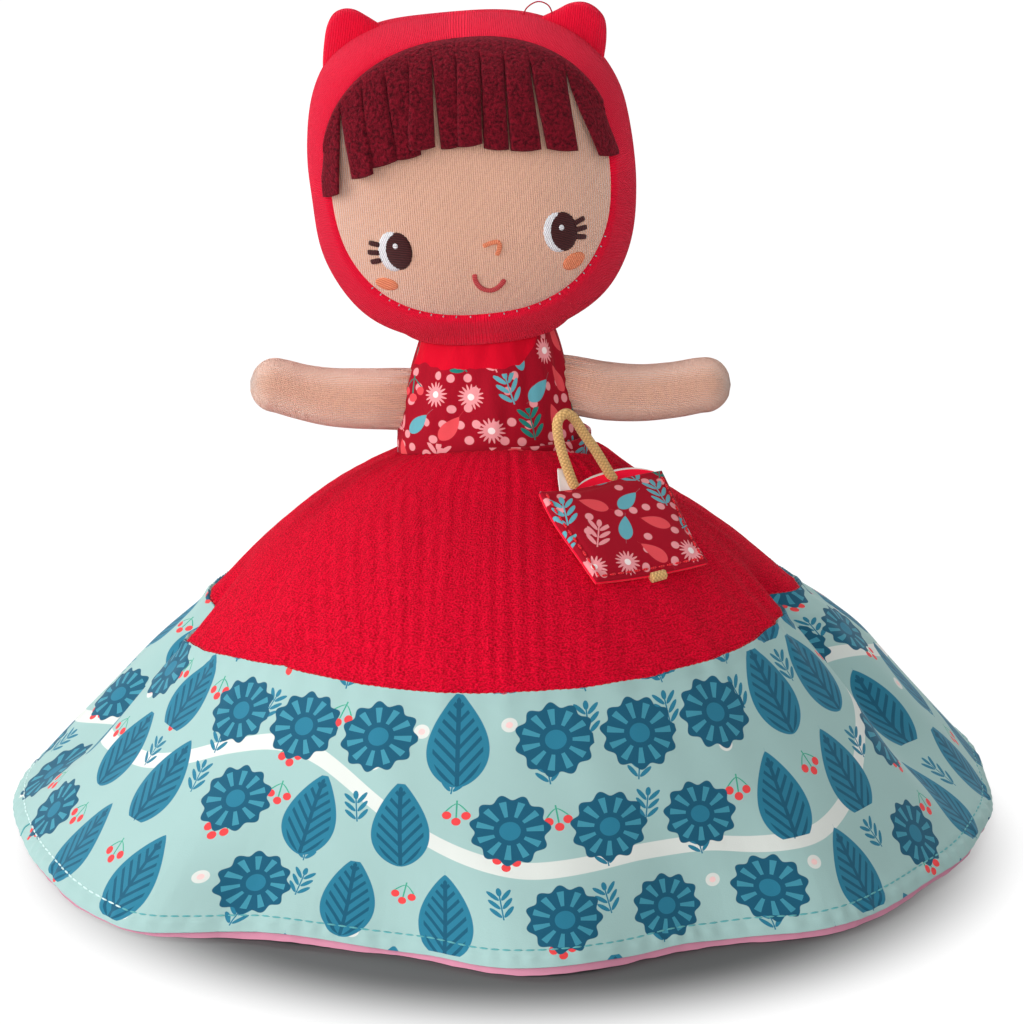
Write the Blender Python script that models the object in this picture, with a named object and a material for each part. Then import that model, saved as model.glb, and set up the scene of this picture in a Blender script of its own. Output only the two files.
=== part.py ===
"""Topsy-turvy doll: two rag dolls joined at the waist under one reversible skirt.

Metres, Z up. The upper doll faces -Y and +X is on the viewer's right. The hidden doll hangs
head down inside the skirt and stands on the crown of its hood, at the origin.
"""

import math

import bmesh
import bpy
from mathutils import Matrix, Vector

# Cloth and clearances
TOUCHING_GAP = 0.0003
LAYER_GAP = 0.0005
HOOD_CLOTH = 0.0009
BODY_CLOTH = 0.0009
WELD_DISTANCE = 0.000001

# Heads: the hidden one stands on its crown, and the bodices' lengths carry the waist and the other
HEAD_WIDTH = 0.093
HEAD_DEPTH = 0.072
HEAD_HEIGHT = 0.091
HEAD_ROLL_DEGREES = 4.7
HEAD_SQUARENESS = 2.4
CHIN_TAPER_SHARE = 0.06
HEAD_SIDES = 20
HEAD_RINGS = 15
HOOD_FIRST_RING = 5
FACE_LAST_RING = 6
HIDDEN_HEAD_SHARE = 0.92
CROWN_FLATTENING = 0.002

# Bodices
BODICE_HEIGHT = 0.034
HIDDEN_BODICE_HEIGHT = 0.0283
BODICE_WAIST_WIDTH = 0.051
BODICE_NECK_WIDTH = 0.039
BODICE_DEPTH_SHARE = 0.8
BODICE_SIDES = 20
WAIST_SHIFT = -0.003
NECK_SHIFT = -0.0055
NECK_RIM_DROP = 0.0002
NECK_FILLING_DROP = 0.0011
NECK_DOME_HEIGHT = 0.0006
NECK_DOME_RADIUS = 0.008

# Skirt: a muslin yoke at the waist and a printed border down to the hem, cut in gores
GORE_COUNT = 12
HIDDEN_NECK_HEIGHT = HEAD_HEIGHT * HIDDEN_HEAD_SHARE - CROWN_FLATTENING
WAIST_HEIGHT = HIDDEN_NECK_HEIGHT + HIDDEN_BODICE_HEIGHT
WAIST_RADIUS = 0.033
SEAM_HEIGHT = 0.063
SEAM_RIGHT_RISE = 0.004
SEAM_RADIUS = 0.095
SEAM_FRONT_REACH = 0.006
HEM_RADIUS = 0.145
SKIRT_CLOTH = 0.0018
SEAM_GAP = 0.0007
YOKE_BULGE = 0.005
WAIST_PUFF = 0.0045
WIDE_FOLD_DEPTH = 0.006
NARROW_FOLD_DEPTH = 0.0035
WIDE_FOLDS = 8
NARROW_FOLDS = 12
YOKE_COLUMNS = 6
YOKE_ROWS = 5
BORDER_COLUMNS = 8
BORDER_ROWS = 4
BULGE_LEAN_SHARE = 0.85
PUFF_PLACE_SHARE = 0.1
PUFF_WIDTH_SHARE = 0.08
FRONT_FOLD_SHARE = 0.3
FOLD_START_SHARE = 1.3

# Waist tape, sewn round the join of the two bodices
TAPE_HEIGHT = 0.0025

# Fringe of the hair, a fleece strip slit into locks, from the viewer's left to right
FRINGE_WIDTH_SHARE = 0.828
FRINGE_SPAN_SHARE = 0.8645
FRINGE_RISE_SHARE = 0.8835
FRINGE_CLOTH = 0.0014
FRINGE_GAP = 0.0008
FRINGE_SLIT = 0.0006
FRINGE_BAND = 0.007
FRINGE_ROWS = 4
LOCK_END_SHARES = (0.11, 0.24, 0.32, 0.385, 0.4, 0.4, 0.385, 0.37, 0.35, 0.32, 0.27)

# Ears on the upper hood
EAR_WIDTH = 0.019
EAR_DEPTH = 0.007
EAR_HEIGHT = 0.022
EAR_SPREAD_SHARE = 0.699
EAR_RISE_SHARE = 0.846
EAR_SPLAY_DEGREES = 14
EAR_SIDES = 14
EAR_RINGS = 9

# Arms
ARM_LENGTH = 0.048
ARM_WIDTH = 0.017
ARM_HEIGHT_ABOVE_WAIST = 0.0148
ARM_ROOT_SHARE = 0.84
ARM_FULL_SHARE = 0.6
ARM_SIDES = 12
ARM_RINGS = 3
ARM_TIP_RINGS = 3
SEATING_GAP = 0.0004
SEATING_STEPS = 8
UPPER_ARM_RISE_DEGREES = {"left": 4, "right": 0}
HIDDEN_ARM_DROOP_DEGREES = 40
HIDDEN_ARM_SHARE = 0.95

# Padded bag on the second gore
BAG_GORE = 1
BAG_TOP_WIDTH = 0.041
BAG_BOTTOM_WIDTH = 0.0365
BAG_LENGTH = 0.034
BAG_DROP = 0.0145
BAG_SIDE_SHIFT = 0.0035
BAG_STANDOFF = 0.0073
BAG_CLOTH = 0.0008
BAG_CROWN = 0.0024
BAG_BACK_CROWN = 0.0004
BAG_CELLS = 6
PILLOW_POWER = 4
HANDLE_CORD = 0.003
HANDLE_HEIGHT = 0.020
HANDLE_WIDTH = 0.0135
HANDLE_LEAN = 0.009
HANDLE_SHIFT = 0.0017
HANDLE_POINTS = 14
CORD_END_LENGTH = 0.004
TAB_WIDTH = 0.0055
TAB_HEIGHT = 0.0085
TAB_CLOTH = 0.0006
TAB_SHIFT = -0.0085

# Finish of each cloth: colour and roughness
COLOURS = {
    "muslin_red": ((0.66, 0.008, 0.022), 0.9),
    "jersey_red": ((0.68, 0.006, 0.02), 0.85),
    "border_aqua": ((0.4, 0.66, 0.64), 0.85),
    "print_red": ((0.37, 0.008, 0.02), 0.85),
    "knit_beige": ((0.8, 0.52, 0.36), 0.9),
    "fleece_burgundy": ((0.11, 0.006, 0.014), 0.95),
    "filling_white": ((0.85, 0.84, 0.8), 0.95),
    "cord_yellow": ((0.75, 0.5, 0.2), 0.9),
    "ribbon_white": ((0.9, 0.88, 0.86), 0.5),
}

FULL_TURN = 2 * math.pi
FRONT = Vector((0, -1, 0))
UP = Vector((0, 0, 1))


def clear_scene():
    for obj in list(bpy.data.objects):
        bpy.data.objects.remove(obj, do_unlink=True)


def new_collection(name):
    collection = bpy.data.collections.new(name)
    bpy.context.scene.collection.children.link(collection)
    return collection


def new_material(name, colour, roughness):
    material = bpy.data.materials.new(name)
    material.use_nodes = True
    shader = material.node_tree.nodes["Principled BSDF"]
    shader.inputs["Base Color"].default_value = (*colour, 1)
    shader.inputs["Roughness"].default_value = roughness
    shader.inputs["Metallic"].default_value = 0
    return material


def new_pivot(name, location, parent=None, x_axis=None):
    """An empty on a joint's axis. Everything on that body is parented to it."""
    pivot = bpy.data.objects.new(name, None)
    PARTS.objects.link(pivot)
    turn = Matrix.Identity(4)
    if x_axis is not None:
        side = UP.cross(x_axis).normalized()
        turn = Matrix((x_axis, side, x_axis.cross(side))).transposed().to_4x4()
    pivot.matrix_world = Matrix.Translation(location) @ turn
    if parent is not None:
        pivot.parent = parent
        pivot.matrix_parent_inverse = parent.matrix_world.inverted()
    bpy.context.view_layer.update()
    return pivot


def add_piece(name, bm, material, pivot, collection=None):
    """Makes an object of a mesh given in world coordinates, with its origin on its pivot."""
    bmesh.ops.remove_doubles(bm, verts=bm.verts, dist=WELD_DISTANCE)
    bmesh.ops.recalc_face_normals(bm, faces=bm.faces)
    bm.transform(pivot.matrix_world.inverted())
    mesh = bpy.data.meshes.new(name)
    bm.to_mesh(mesh)
    bm.free()
    mesh.shade_smooth()
    obj = bpy.data.objects.new(name, mesh)
    (collection or PARTS).objects.link(obj)
    obj.parent = pivot
    obj.data.materials.append(MATERIALS[material])
    return obj


def thicken(bm, inner_of):
    """Closes an open surface into a shell: inner_of gives each point's place on the other side."""
    inner_places = {tuple(vert.co): inner_of[vert] for vert in bm.verts}
    grown = bmesh.ops.extrude_face_region(bm, geom=bm.faces[:], use_keep_orig=True)
    for vert in (item for item in grown["geom"] if isinstance(item, bmesh.types.BMVert)):
        vert.co = inner_places[tuple(vert.co)]


def counted_grid(columns, rows):
    """A flat grid, and the column and row of each of its vertices."""
    bm = bmesh.new()
    bmesh.ops.create_grid(bm, x_segments=columns, y_segments=rows, size=1)
    cells = {}
    for vert in bm.verts:
        column = round((vert.co.x + 1) / 2 * columns)
        row = round((vert.co.y + 1) / 2 * rows)
        cells[vert] = (column, row)
    return bm, cells


def cloth_shell(outer, inner, columns, rows):
    """A shell between two surfaces that are functions of a share across and a share along."""
    bm, cells = counted_grid(columns, rows)
    inner_of = {}
    for vert, (column, row) in cells.items():
        vert.co = outer(column / columns, row / rows)
        inner_of[vert] = inner(column / columns, row / rows)
    thicken(bm, inner_of)
    return bm


def turned(profile, sides, closed):
    """Turns a list of (radius, height) about Z. A closed list makes a tube, an open one a solid."""
    bm = bmesh.new()
    verts = [bm.verts.new((radius, 0, height)) for radius, height in profile]
    edges = [bm.edges.new(pair) for pair in zip(verts, verts[1:])]
    if closed:
        edges.append(bm.edges.new((verts[-1], verts[0])))
    bmesh.ops.spin(
        bm, geom=verts + edges, cent=(0, 0, 0), axis=UP, angle=FULL_TURN, steps=sides, use_merge=True
    )
    bmesh.ops.remove_doubles(bm, verts=bm.verts, dist=WELD_DISTANCE)
    return bm


# Skirt


def outward(azimuth):
    """The level direction at an angle from the front, growing towards the viewer's right."""
    return Vector((math.sin(azimuth), -math.cos(azimuth), 0))


def waist_rib(azimuth):
    return outward(azimuth) * WAIST_RADIUS + UP * WAIST_HEIGHT


def seam_rib(azimuth):
    radius = SEAM_RADIUS + SEAM_FRONT_REACH * math.cos(azimuth)
    height = SEAM_HEIGHT + SEAM_RIGHT_RISE * math.sin(azimuth)
    return outward(azimuth) * radius + UP * height


def hem_rib(azimuth):
    return outward(azimuth) * HEM_RADIUS + UP * TOUCHING_GAP


def slope_normal(azimuth, top, bottom):
    """The normal of a rib, in the upright plane through the doll's axis."""
    reach = (bottom - top).dot(outward(azimuth))
    drop = (top - bottom).z
    return (outward(azimuth) * drop + UP * reach).normalized()


def gore_azimuths(index):
    step = FULL_TURN / GORE_COUNT
    return (index - 1 / 2) * step, (index + 1 / 2) * step


def inset(share, length, gap):
    """Pulls a share from 0 to 1 in by half a gap at each end of a length."""
    margin = gap / 2 / length
    return margin + share * (1 - 2 * margin)


def fold_depth(azimuth, along):
    """How far the border falls in behind its widest line. It is nil at the front, sides and back."""
    side_share = (1 - math.cos(azimuth)) / 2
    weight = FRONT_FOLD_SHARE + (1 - FRONT_FOLD_SHARE) * side_share
    wide = WIDE_FOLD_DEPTH * (1 - math.cos(WIDE_FOLDS * azimuth)) / 2
    narrow = NARROW_FOLD_DEPTH * (1 - math.cos(NARROW_FOLDS * azimuth)) / 2
    return weight * (wide + narrow) * along**FOLD_START_SHARE


def yoke_rise(azimuth, along):
    """How far the yoke stands up from the straight line between the waist and the seam."""
    bulge = YOKE_BULGE * math.sin(math.pi * along**BULGE_LEAN_SHARE)
    front_share = max(0, math.cos(azimuth))
    offset = (along - PUFF_PLACE_SHARE) / PUFF_WIDTH_SHARE
    return bulge + WAIST_PUFF * front_share**2 * math.exp(-(offset**2))


def gore_point(index, across, along, start_rib, end_rib, round_end):
    """A point on the flat gore, its azimuth and the normal of its rib."""
    first, last = gore_azimuths(index)
    start_chord = start_rib(last) - start_rib(first)
    end_chord = end_rib(last) - end_rib(first)
    slant = (end_rib(first) - start_rib(first)).length
    width = (start_chord.lerp(end_chord, along)).length
    across = inset(across, width, TOUCHING_GAP)
    along = inset(along, slant, SEAM_GAP)
    azimuth = first + across * (last - first)
    start = start_rib(first) + start_chord * across
    end = end_rib(azimuth) if round_end else end_rib(first) + end_chord * across
    point = start.lerp(end, along)
    return point, azimuth, slope_normal(azimuth, start_rib(azimuth), end_rib(azimuth))


def yoke_outer(index, across, along):
    point, azimuth, normal = gore_point(index, across, along, waist_rib, seam_rib, False)
    return point + normal * yoke_rise(azimuth, along)


def yoke_inner(index, across, along):
    normal = gore_point(index, across, along, waist_rib, seam_rib, False)[2]
    return yoke_outer(index, across, along) - normal * SKIRT_CLOTH


def border_outer(index, across, along):
    point, azimuth, _ = gore_point(index, across, along, seam_rib, hem_rib, True)
    return point - outward(azimuth) * fold_depth(azimuth, along)


def border_inner(index, across, along):
    """The cloth's inner side, level with the outer one at the hem."""
    _, azimuth, normal = gore_point(index, across, along, seam_rib, hem_rib, True)
    inwards = normal.lerp(outward(azimuth), along).normalized()
    return border_outer(index, across, along) - inwards * SKIRT_CLOTH


def hinge_line(index, rib):
    """The middle and direction of the straight fold between two ribs."""
    first, last = gore_azimuths(index)
    return (rib(first) + rib(last)) / 2, (rib(last) - rib(first)).normalized()


def add_gore(index, trunk):
    """One gore of the yoke, hinged at the waist, and its piece of the border, hinged at the seam."""
    number = f"{index + 1:02d}"
    waist, waist_axis = hinge_line(index, waist_rib)
    seam, seam_axis = hinge_line(index, seam_rib)
    yoke_pivot = new_pivot(f"waist_fold_{number}", waist, trunk, waist_axis)
    border_pivot = new_pivot(f"seam_fold_{number}", seam, yoke_pivot, seam_axis)
    yoke = cloth_shell(
        lambda across, along: yoke_outer(index, across, along),
        lambda across, along: yoke_inner(index, across, along),
        YOKE_COLUMNS,
        YOKE_ROWS,
    )
    border = cloth_shell(
        lambda across, along: border_outer(index, across, along),
        lambda across, along: border_inner(index, across, along),
        BORDER_COLUMNS,
        BORDER_ROWS,
    )
    add_piece(f"yoke_gore_{number}", yoke, "muslin_red", yoke_pivot)
    add_piece(f"border_gore_{number}", border, "border_aqua", border_pivot)
    return yoke_pivot


# Bodices, their filling and the waist tape


def upper_neck():
    return Vector((NECK_SHIFT, 0, WAIST_HEIGHT + BODICE_HEIGHT))


def hidden_neck():
    return Vector((0, 0, HIDDEN_NECK_HEIGHT))


def bodice_radius(share):
    """Half the bodice's width, from the waist at 0 to the neck at 1."""
    return (BODICE_WAIST_WIDTH + share * (BODICE_NECK_WIDTH - BODICE_WAIST_WIDTH)) / 2


def bodice_profile(length, inset_by):
    shares = (0, 1 / 3, 2 / 3, 1)
    return [(bodice_radius(share) - inset_by, share * length) for share in shares]


def stand_upper_bodice(bm, length):
    """Flattens the turned bodice, leans it and tips its top to match the head."""
    tip = math.tan(math.radians(HEAD_ROLL_DEGREES))
    for vert in bm.verts:
        share = vert.co.z / length
        vert.co.y *= BODICE_DEPTH_SHARE
        vert.co.z += vert.co.x * tip * share
        vert.co.x += WAIST_SHIFT + (NECK_SHIFT - WAIST_SHIFT) * share
        vert.co.z += WAIST_HEIGHT + TOUCHING_GAP / 2


def stand_hidden_bodice(bm):
    for vert in bm.verts:
        vert.co.y *= BODICE_DEPTH_SHARE
        vert.co.z = WAIST_HEIGHT - TOUCHING_GAP / 2 - vert.co.z


def add_bodices(trunk):
    """Two open tubes and their filling, which ends low enough for the heads to tilt on it."""
    inner = BODY_CLOTH
    core = BODY_CLOTH + LAYER_GAP
    for place, neck in (("upper", BODICE_HEIGHT), ("hidden", HIDDEN_BODICE_HEIGHT)):
        length = neck - NECK_RIM_DROP
        tube = bodice_profile(length, 0) + bodice_profile(length, inner)[::-1]
        core_length = neck - NECK_FILLING_DROP
        middle = bodice_profile(core_length, core)
        dome = [(NECK_DOME_RADIUS, core_length), (0, core_length + NECK_DOME_HEIGHT)]
        solid = [(0, 0), *middle, *dome]
        shell = turned(tube, BODICE_SIDES, True)
        filling = turned(solid, BODICE_SIDES, False)
        if place == "upper":
            stand_upper_bodice(shell, length)
            stand_upper_bodice(filling, length)
        else:
            stand_hidden_bodice(shell)
            stand_hidden_bodice(filling)
        add_piece(f"bodice_{place}", shell, "print_red", trunk)
        add_piece(f"body_filling_{place}", filling, "filling_white", trunk)


def add_waist_tape(trunk):
    """A tape round the foot of the upper bodice: round outside, and fitted to the bodice inside."""
    inner = bodice_radius(0) + TOUCHING_GAP
    outer = WAIST_RADIUS * math.cos(math.pi / GORE_COUNT) - TOUCHING_GAP
    foot = TOUCHING_GAP / 2
    profile = [(outer, foot), (outer, TAPE_HEIGHT), (inner, TAPE_HEIGHT), (inner, foot)]
    bm = turned(profile, 2 * BODICE_SIDES, True)
    middle = (inner + outer) / 2
    for vert in bm.verts:
        if vert.co.xy.length < middle:
            vert.co.x += WAIST_SHIFT
            vert.co.y *= (bodice_radius(0) * BODICE_DEPTH_SHARE + TOUCHING_GAP) / bodice_radius(0)
        vert.co.z += WAIST_HEIGHT
    add_piece("waist_tape", bm, "jersey_red", trunk)


# Heads


def head_half_size(share):
    return Vector((HEAD_WIDTH, HEAD_DEPTH, HEAD_HEIGHT)) * share / 2


def head_frame(place):
    """The head's own frame: -Y to the face, +Z to the crown, with its origin at its middle."""
    if place == "upper":
        roll = Matrix.Rotation(-math.radians(HEAD_ROLL_DEGREES), 4, "Y")
        middle = Vector((0, 0, HEAD_HEIGHT / 2 + TOUCHING_GAP))
        return Matrix.Translation(upper_neck()) @ roll @ Matrix.Translation(middle)
    turn_over = Matrix.Rotation(math.pi, 4, "Y")
    middle = UP * (HEAD_HEIGHT * HIDDEN_HEAD_SHARE / 2 - CROWN_FLATTENING)
    return Matrix.Translation(middle) @ turn_over


def head_point(direction, half_size, depth):
    """The head's surface, or a layer under it, in a direction: a squarish egg, narrower at the chin."""
    power = HEAD_SQUARENESS
    size = sum(abs(part) ** power for part in direction) ** (1 / power)
    unit = direction / size
    half = half_size - Vector((depth, depth, depth))
    point = Vector(unit[axis] * half[axis] for axis in range(3))
    point.x *= 1 + CHIN_TAPER_SHARE * min(unit.z, 0)
    return point


def head_layer(place, depth, cloth, first_ring, last_ring):
    """A shell of the head between two rings counted from the face, or a solid if cloth is nil."""
    share = 1 if place == "upper" else HIDDEN_HEAD_SHARE
    half_size = head_half_size(share)
    frame = head_frame(place)

    def placed(direction, layer):
        point = frame @ head_point(direction, half_size, layer)
        point.z = max(point.z, layer)
        return point

    bm = bmesh.new()
    bmesh.ops.create_uvsphere(bm, u_segments=HEAD_SIDES, v_segments=HEAD_RINGS, radius=1)
    ring_angle = math.pi / HEAD_RINGS
    directions = {}
    for vert in bm.verts:
        directions[vert] = Vector((vert.co.x, -vert.co.z, vert.co.y)).normalized()
    outside = []
    for face in bm.faces:
        middle = sum((directions[vert] for vert in face.verts), Vector()).normalized()
        ring = middle.angle(FRONT) / ring_angle
        if not first_ring < ring < last_ring:
            outside.append(face)
    bmesh.ops.delete(bm, geom=outside, context="FACES")
    inner_of = {}
    for vert in bm.verts:
        direction = directions[vert]
        vert.co = placed(direction, depth)
        inner_of[vert] = placed(direction, depth + cloth)
    if cloth:
        thicken(bm, inner_of)
    return bm


def add_head(place, neck):
    """Hood and face panel, sewn together round the face, over one ball of filling."""
    face_depth = HOOD_CLOTH + LAYER_GAP
    filling_depth = face_depth + HOOD_CLOTH + LAYER_GAP
    hood = head_layer(place, 0, HOOD_CLOTH, HOOD_FIRST_RING, HEAD_RINGS)
    face = head_layer(place, face_depth, HOOD_CLOTH, 0, FACE_LAST_RING)
    filling = head_layer(place, filling_depth, 0, 0, HEAD_RINGS)
    add_piece(f"hood_{place}", hood, "jersey_red", neck)
    add_piece(f"face_panel_{place}", face, "knit_beige", neck)
    add_piece(f"head_filling_{place}", filling, "filling_white", neck)
    add_piece(f"fringe_{place}", fringe_mesh(place), "fleece_burgundy", neck)


def face_front(x, z, half_size, depth):
    """The point of a head layer in front of a place across and up the face."""
    power = HEAD_SQUARENESS
    half = half_size - Vector((depth, depth, depth))
    used = (abs(x) / half.x) ** power + (abs(z) / half.z) ** power
    return Vector((x, -half.y * (1 - used) ** (1 / power), z))


def fringe_mesh(place):
    """A band under the hood's edge, slit into hanging locks of hand-cut lengths."""
    share = 1 if place == "upper" else HIDDEN_HEAD_SHARE
    half_size = head_half_size(share)
    frame = head_frame(place)
    locks = len(LOCK_END_SHARES)
    pitch = HEAD_WIDTH * FRINGE_WIDTH_SHARE * share / locks
    span = half_size.x * FRINGE_SPAN_SHARE
    rise = half_size.z * FRINGE_RISE_SHARE
    columns = 2 * locks - 1
    inner_depth = HOOD_CLOTH + LAYER_GAP - FRINGE_GAP
    outer_depth = inner_depth - FRINGE_CLOTH
    slit_rows = FRINGE_ROWS - 1

    def place_of(column, row, depth):
        lock, side = divmod(column, 2)
        edge = (lock + side - locks / 2) * pitch
        x = edge + (1 / 2 - side) * FRINGE_SLIT
        top = rise * math.sqrt(1 - (x / span) ** 2)
        end = LOCK_END_SHARES[lock] * rise
        slit_top = max(top - FRINGE_BAND * share, (top + end) / 2)
        height = top if row == FRINGE_ROWS else end + (slit_top - end) * row / slit_rows
        return frame @ face_front(x, height, half_size, depth)

    bm, cells = counted_grid(columns, FRINGE_ROWS)
    slits = []
    for face in bm.faces:
        column = min(cells[vert][0] for vert in face.verts)
        row = min(cells[vert][1] for vert in face.verts)
        if column % 2 and row < slit_rows:
            slits.append(face)
    bmesh.ops.delete(bm, geom=slits, context="FACES")
    inner_of = {}
    for vert in bm.verts:
        vert.co = place_of(*cells[vert], outer_depth)
        inner_of[vert] = place_of(*cells[vert], inner_depth)
    thicken(bm, inner_of)
    return bm


def add_ears(neck):
    """Two small padded ears, cut to sit on the upper hood."""
    cutter_mesh = head_layer("upper", -TOUCHING_GAP, 0, 0, HEAD_RINGS)
    cutter = add_piece("ear_cutter", cutter_mesh, "jersey_red", neck, CUTTERS)
    cutter.hide_render = True
    cutter.display_type = "WIRE"
    head_half = head_half_size(1)
    spread = head_half.x * EAR_SPREAD_SHARE
    rise = head_half.z * EAR_RISE_SHARE
    for name, side in (("left", -1), ("right", 1)):
        bm = bmesh.new()
        bmesh.ops.create_uvsphere(bm, u_segments=EAR_SIDES, v_segments=EAR_RINGS, radius=1)
        size = Matrix.Diagonal((EAR_WIDTH / 2, EAR_DEPTH / 2, EAR_HEIGHT / 2, 1))
        splay = Matrix.Rotation(side * math.radians(EAR_SPLAY_DEGREES), 4, "Y")
        place = Matrix.Translation((side * spread, 0, rise))
        bm.transform(head_frame("upper") @ place @ splay @ size)
        ear = add_piece(f"ear_{name}", bm, "jersey_red", neck)
        cut = ear.modifiers.new("hood_seat", "BOOLEAN")
        cut.operation = "DIFFERENCE"
        cut.object = cutter


# Arms


def arm_profile(length, width, inset_by):
    """The outline of an arm's half from its root to its round tip, as (radius, distance)."""
    radius = width / 2 - inset_by
    reach = length - inset_by
    points = []
    for ring in range(ARM_RINGS + 1):
        distance = (reach - radius) * ring / ARM_RINGS
        swell = min(distance / (length * ARM_FULL_SHARE), 1)
        share = ARM_ROOT_SHARE + (1 - ARM_ROOT_SHARE) * math.sin(swell * math.pi / 2)
        points.append((width / 2 * share - inset_by, distance))
    for ring in range(1, ARM_TIP_RINGS + 1):
        angle = ring / ARM_TIP_RINGS * math.pi / 2
        points.append((radius * math.cos(angle), reach - radius + radius * math.sin(angle)))
    return points


def arm_frame(shoulder, direction):
    """Carries the turned arm's Z axis to its direction, at the shoulder."""
    turn = UP.rotation_difference(direction).to_matrix().to_4x4()
    return Matrix.Translation(shoulder) @ turn


def bodice_edge(place, side, level):
    """How far out the bodice's side seam is, at a height above or below the waist."""
    if place == "upper":
        share = level / BODICE_HEIGHT
        middle = WAIST_SHIFT + (NECK_SHIFT - WAIST_SHIFT) * share
    else:
        share = level / HIDDEN_BODICE_HEIGHT
        middle = 0
    return side * middle + bodice_radius(share)


def root_distance(place, side, rise, root_radius):
    """How far along its own line an arm starts, so that its root just clears the side seam."""
    away = 1 if place == "upper" else -1
    middle = bodice_edge(place, side, ARM_HEIGHT_ABOVE_WAIST)
    distance = 0
    for corner in (-root_radius, root_radius):
        for _ in range(SEATING_STEPS):
            out = middle + distance * math.cos(rise) - corner * math.sin(rise)
            level = ARM_HEIGHT_ABOVE_WAIST + away * (
                distance * math.sin(rise) + corner * math.cos(rise)
            )
            overlap = bodice_edge(place, side, level) + SEATING_GAP - out
            distance += max(overlap, 0)
    return distance


def add_arm(place, name, side, trunk):
    """A padded tube, which folds up on the top of its shoulder seam."""
    if place == "upper":
        rise = math.radians(UPPER_ARM_RISE_DEGREES[name])
        share = 1
        height = WAIST_HEIGHT + ARM_HEIGHT_ABOVE_WAIST
    else:
        rise = -math.radians(HIDDEN_ARM_DROOP_DEGREES)
        share = HIDDEN_ARM_SHARE
        height = WAIST_HEIGHT - ARM_HEIGHT_ABOVE_WAIST
    length = ARM_LENGTH * share
    width = ARM_WIDTH * share
    root_radius = width / 2 * ARM_ROOT_SHARE
    direction = Vector((side * math.cos(rise), 0, math.sin(rise)))
    upwards = Vector((-side * math.sin(rise), 0, math.cos(rise)))
    seam = Vector((side * bodice_edge(place, side, ARM_HEIGHT_ABOVE_WAIST), 0, height))
    root = seam + direction * root_distance(place, side, rise, root_radius)
    frame = arm_frame(root, direction)
    pivot = new_pivot(f"shoulder_{place}_{name}", root + upwards * root_radius, trunk)
    skin_outline = arm_profile(length, width, 0)
    skin_inside = arm_profile(length, width, BODY_CLOTH)
    skin = turned(skin_outline[::-1] + skin_inside, ARM_SIDES, False)
    core = arm_profile(length, width, BODY_CLOTH + LAYER_GAP)
    filling = turned([(0, 0), *core], ARM_SIDES, False)
    skin.transform(frame)
    filling.transform(frame)
    add_piece(f"arm_{place}_{name}", skin, "knit_beige", pivot)
    add_piece(f"arm_filling_{place}_{name}", filling, "filling_white", pivot)


# Bag


def bag_axes():
    """The bag's corner frame on its gore: across, down the slope, and off the cloth."""
    hinge, across = hinge_line(BAG_GORE, waist_rib)
    seam, _ = hinge_line(BAG_GORE, seam_rib)
    down = (seam - hinge).normalized()
    off = down.cross(across).normalized()
    if off.z < 0:
        off = -off
    return hinge, across, down, off


def bag_point(sideways, drop, lift):
    hinge, across, down, off = bag_axes()
    return hinge + across * sideways + down * drop + off * (BAG_STANDOFF + lift)


def bag_place(across, along, lift):
    width = BAG_TOP_WIDTH + along * (BAG_BOTTOM_WIDTH - BAG_TOP_WIDTH)
    sideways = BAG_SIDE_SHIFT + (across - 1 / 2) * width
    return bag_point(sideways, BAG_DROP + along * BAG_LENGTH, lift)


def pillow(across, along):
    """A pillow's height as a share of its crown: nil along the four seams."""
    return (1 - abs(2 * across - 1) ** PILLOW_POWER) * (1 - abs(2 * along - 1) ** PILLOW_POWER)


def add_bag(yoke_pivot):
    hinge = bag_point(BAG_SIDE_SHIFT, BAG_DROP, 0)
    pivot = new_pivot("bag_lift", hinge, yoke_pivot, bag_axes()[1])
    seam = TOUCHING_GAP / 2
    sheets = (("bag_front", 1, BAG_CROWN), ("bag_back", -1, BAG_BACK_CROWN))
    for name, side, crown in sheets:
        sheet = cloth_shell(
            lambda across, along, side=side, crown=crown: bag_place(
                across, along, side * (seam + BAG_CLOTH + crown * pillow(across, along))
            ),
            lambda across, along, side=side, crown=crown: bag_place(
                across, along, side * (seam + crown * pillow(across, along))
            ),
            BAG_CELLS,
            BAG_CELLS,
        )
        add_piece(name, sheet, "print_red", pivot)

    core_cells = BAG_CELLS - 2

    def core(side, crown):
        def point(across, along):
            across = 1 / 2 + (across - 1 / 2) * core_cells / BAG_CELLS
            along = 1 / 2 + (along - 1 / 2) * core_cells / BAG_CELLS
            return bag_place(across, along, side * (crown * pillow(across, along) - seam))

        return point

    filling = cloth_shell(core(1, BAG_CROWN), core(-1, BAG_BACK_CROWN), core_cells, core_cells)
    add_piece("bag_filling", filling, "filling_white", pivot)
    add_handle(pivot)
    add_cord_end(pivot)
    add_tab(pivot)


def add_tube(name, points, pivot):
    """A round cord along a list of world points, with filled ends."""
    to_pivot = pivot.matrix_world.inverted()
    curve = bpy.data.curves.new(name, "CURVE")
    curve.dimensions = "3D"
    curve.bevel_depth = HANDLE_CORD / 2
    curve.bevel_resolution = 2
    curve.use_fill_caps = True
    spline = curve.splines.new("POLY")
    spline.points.add(len(points) - 1)
    for place, point in zip(spline.points, points):
        place.co = (*(to_pivot @ point), 1)
    curve.materials.append(MATERIALS["cord_yellow"])
    obj = bpy.data.objects.new(name, curve)
    PARTS.objects.link(obj)
    obj.parent = pivot


def handle_foot(sideways):
    """A point just above the bag's top seam, where a leg of the handle comes out."""
    return bag_point(sideways, BAG_DROP - HANDLE_CORD / 2 - TOUCHING_GAP, 0)


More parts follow.
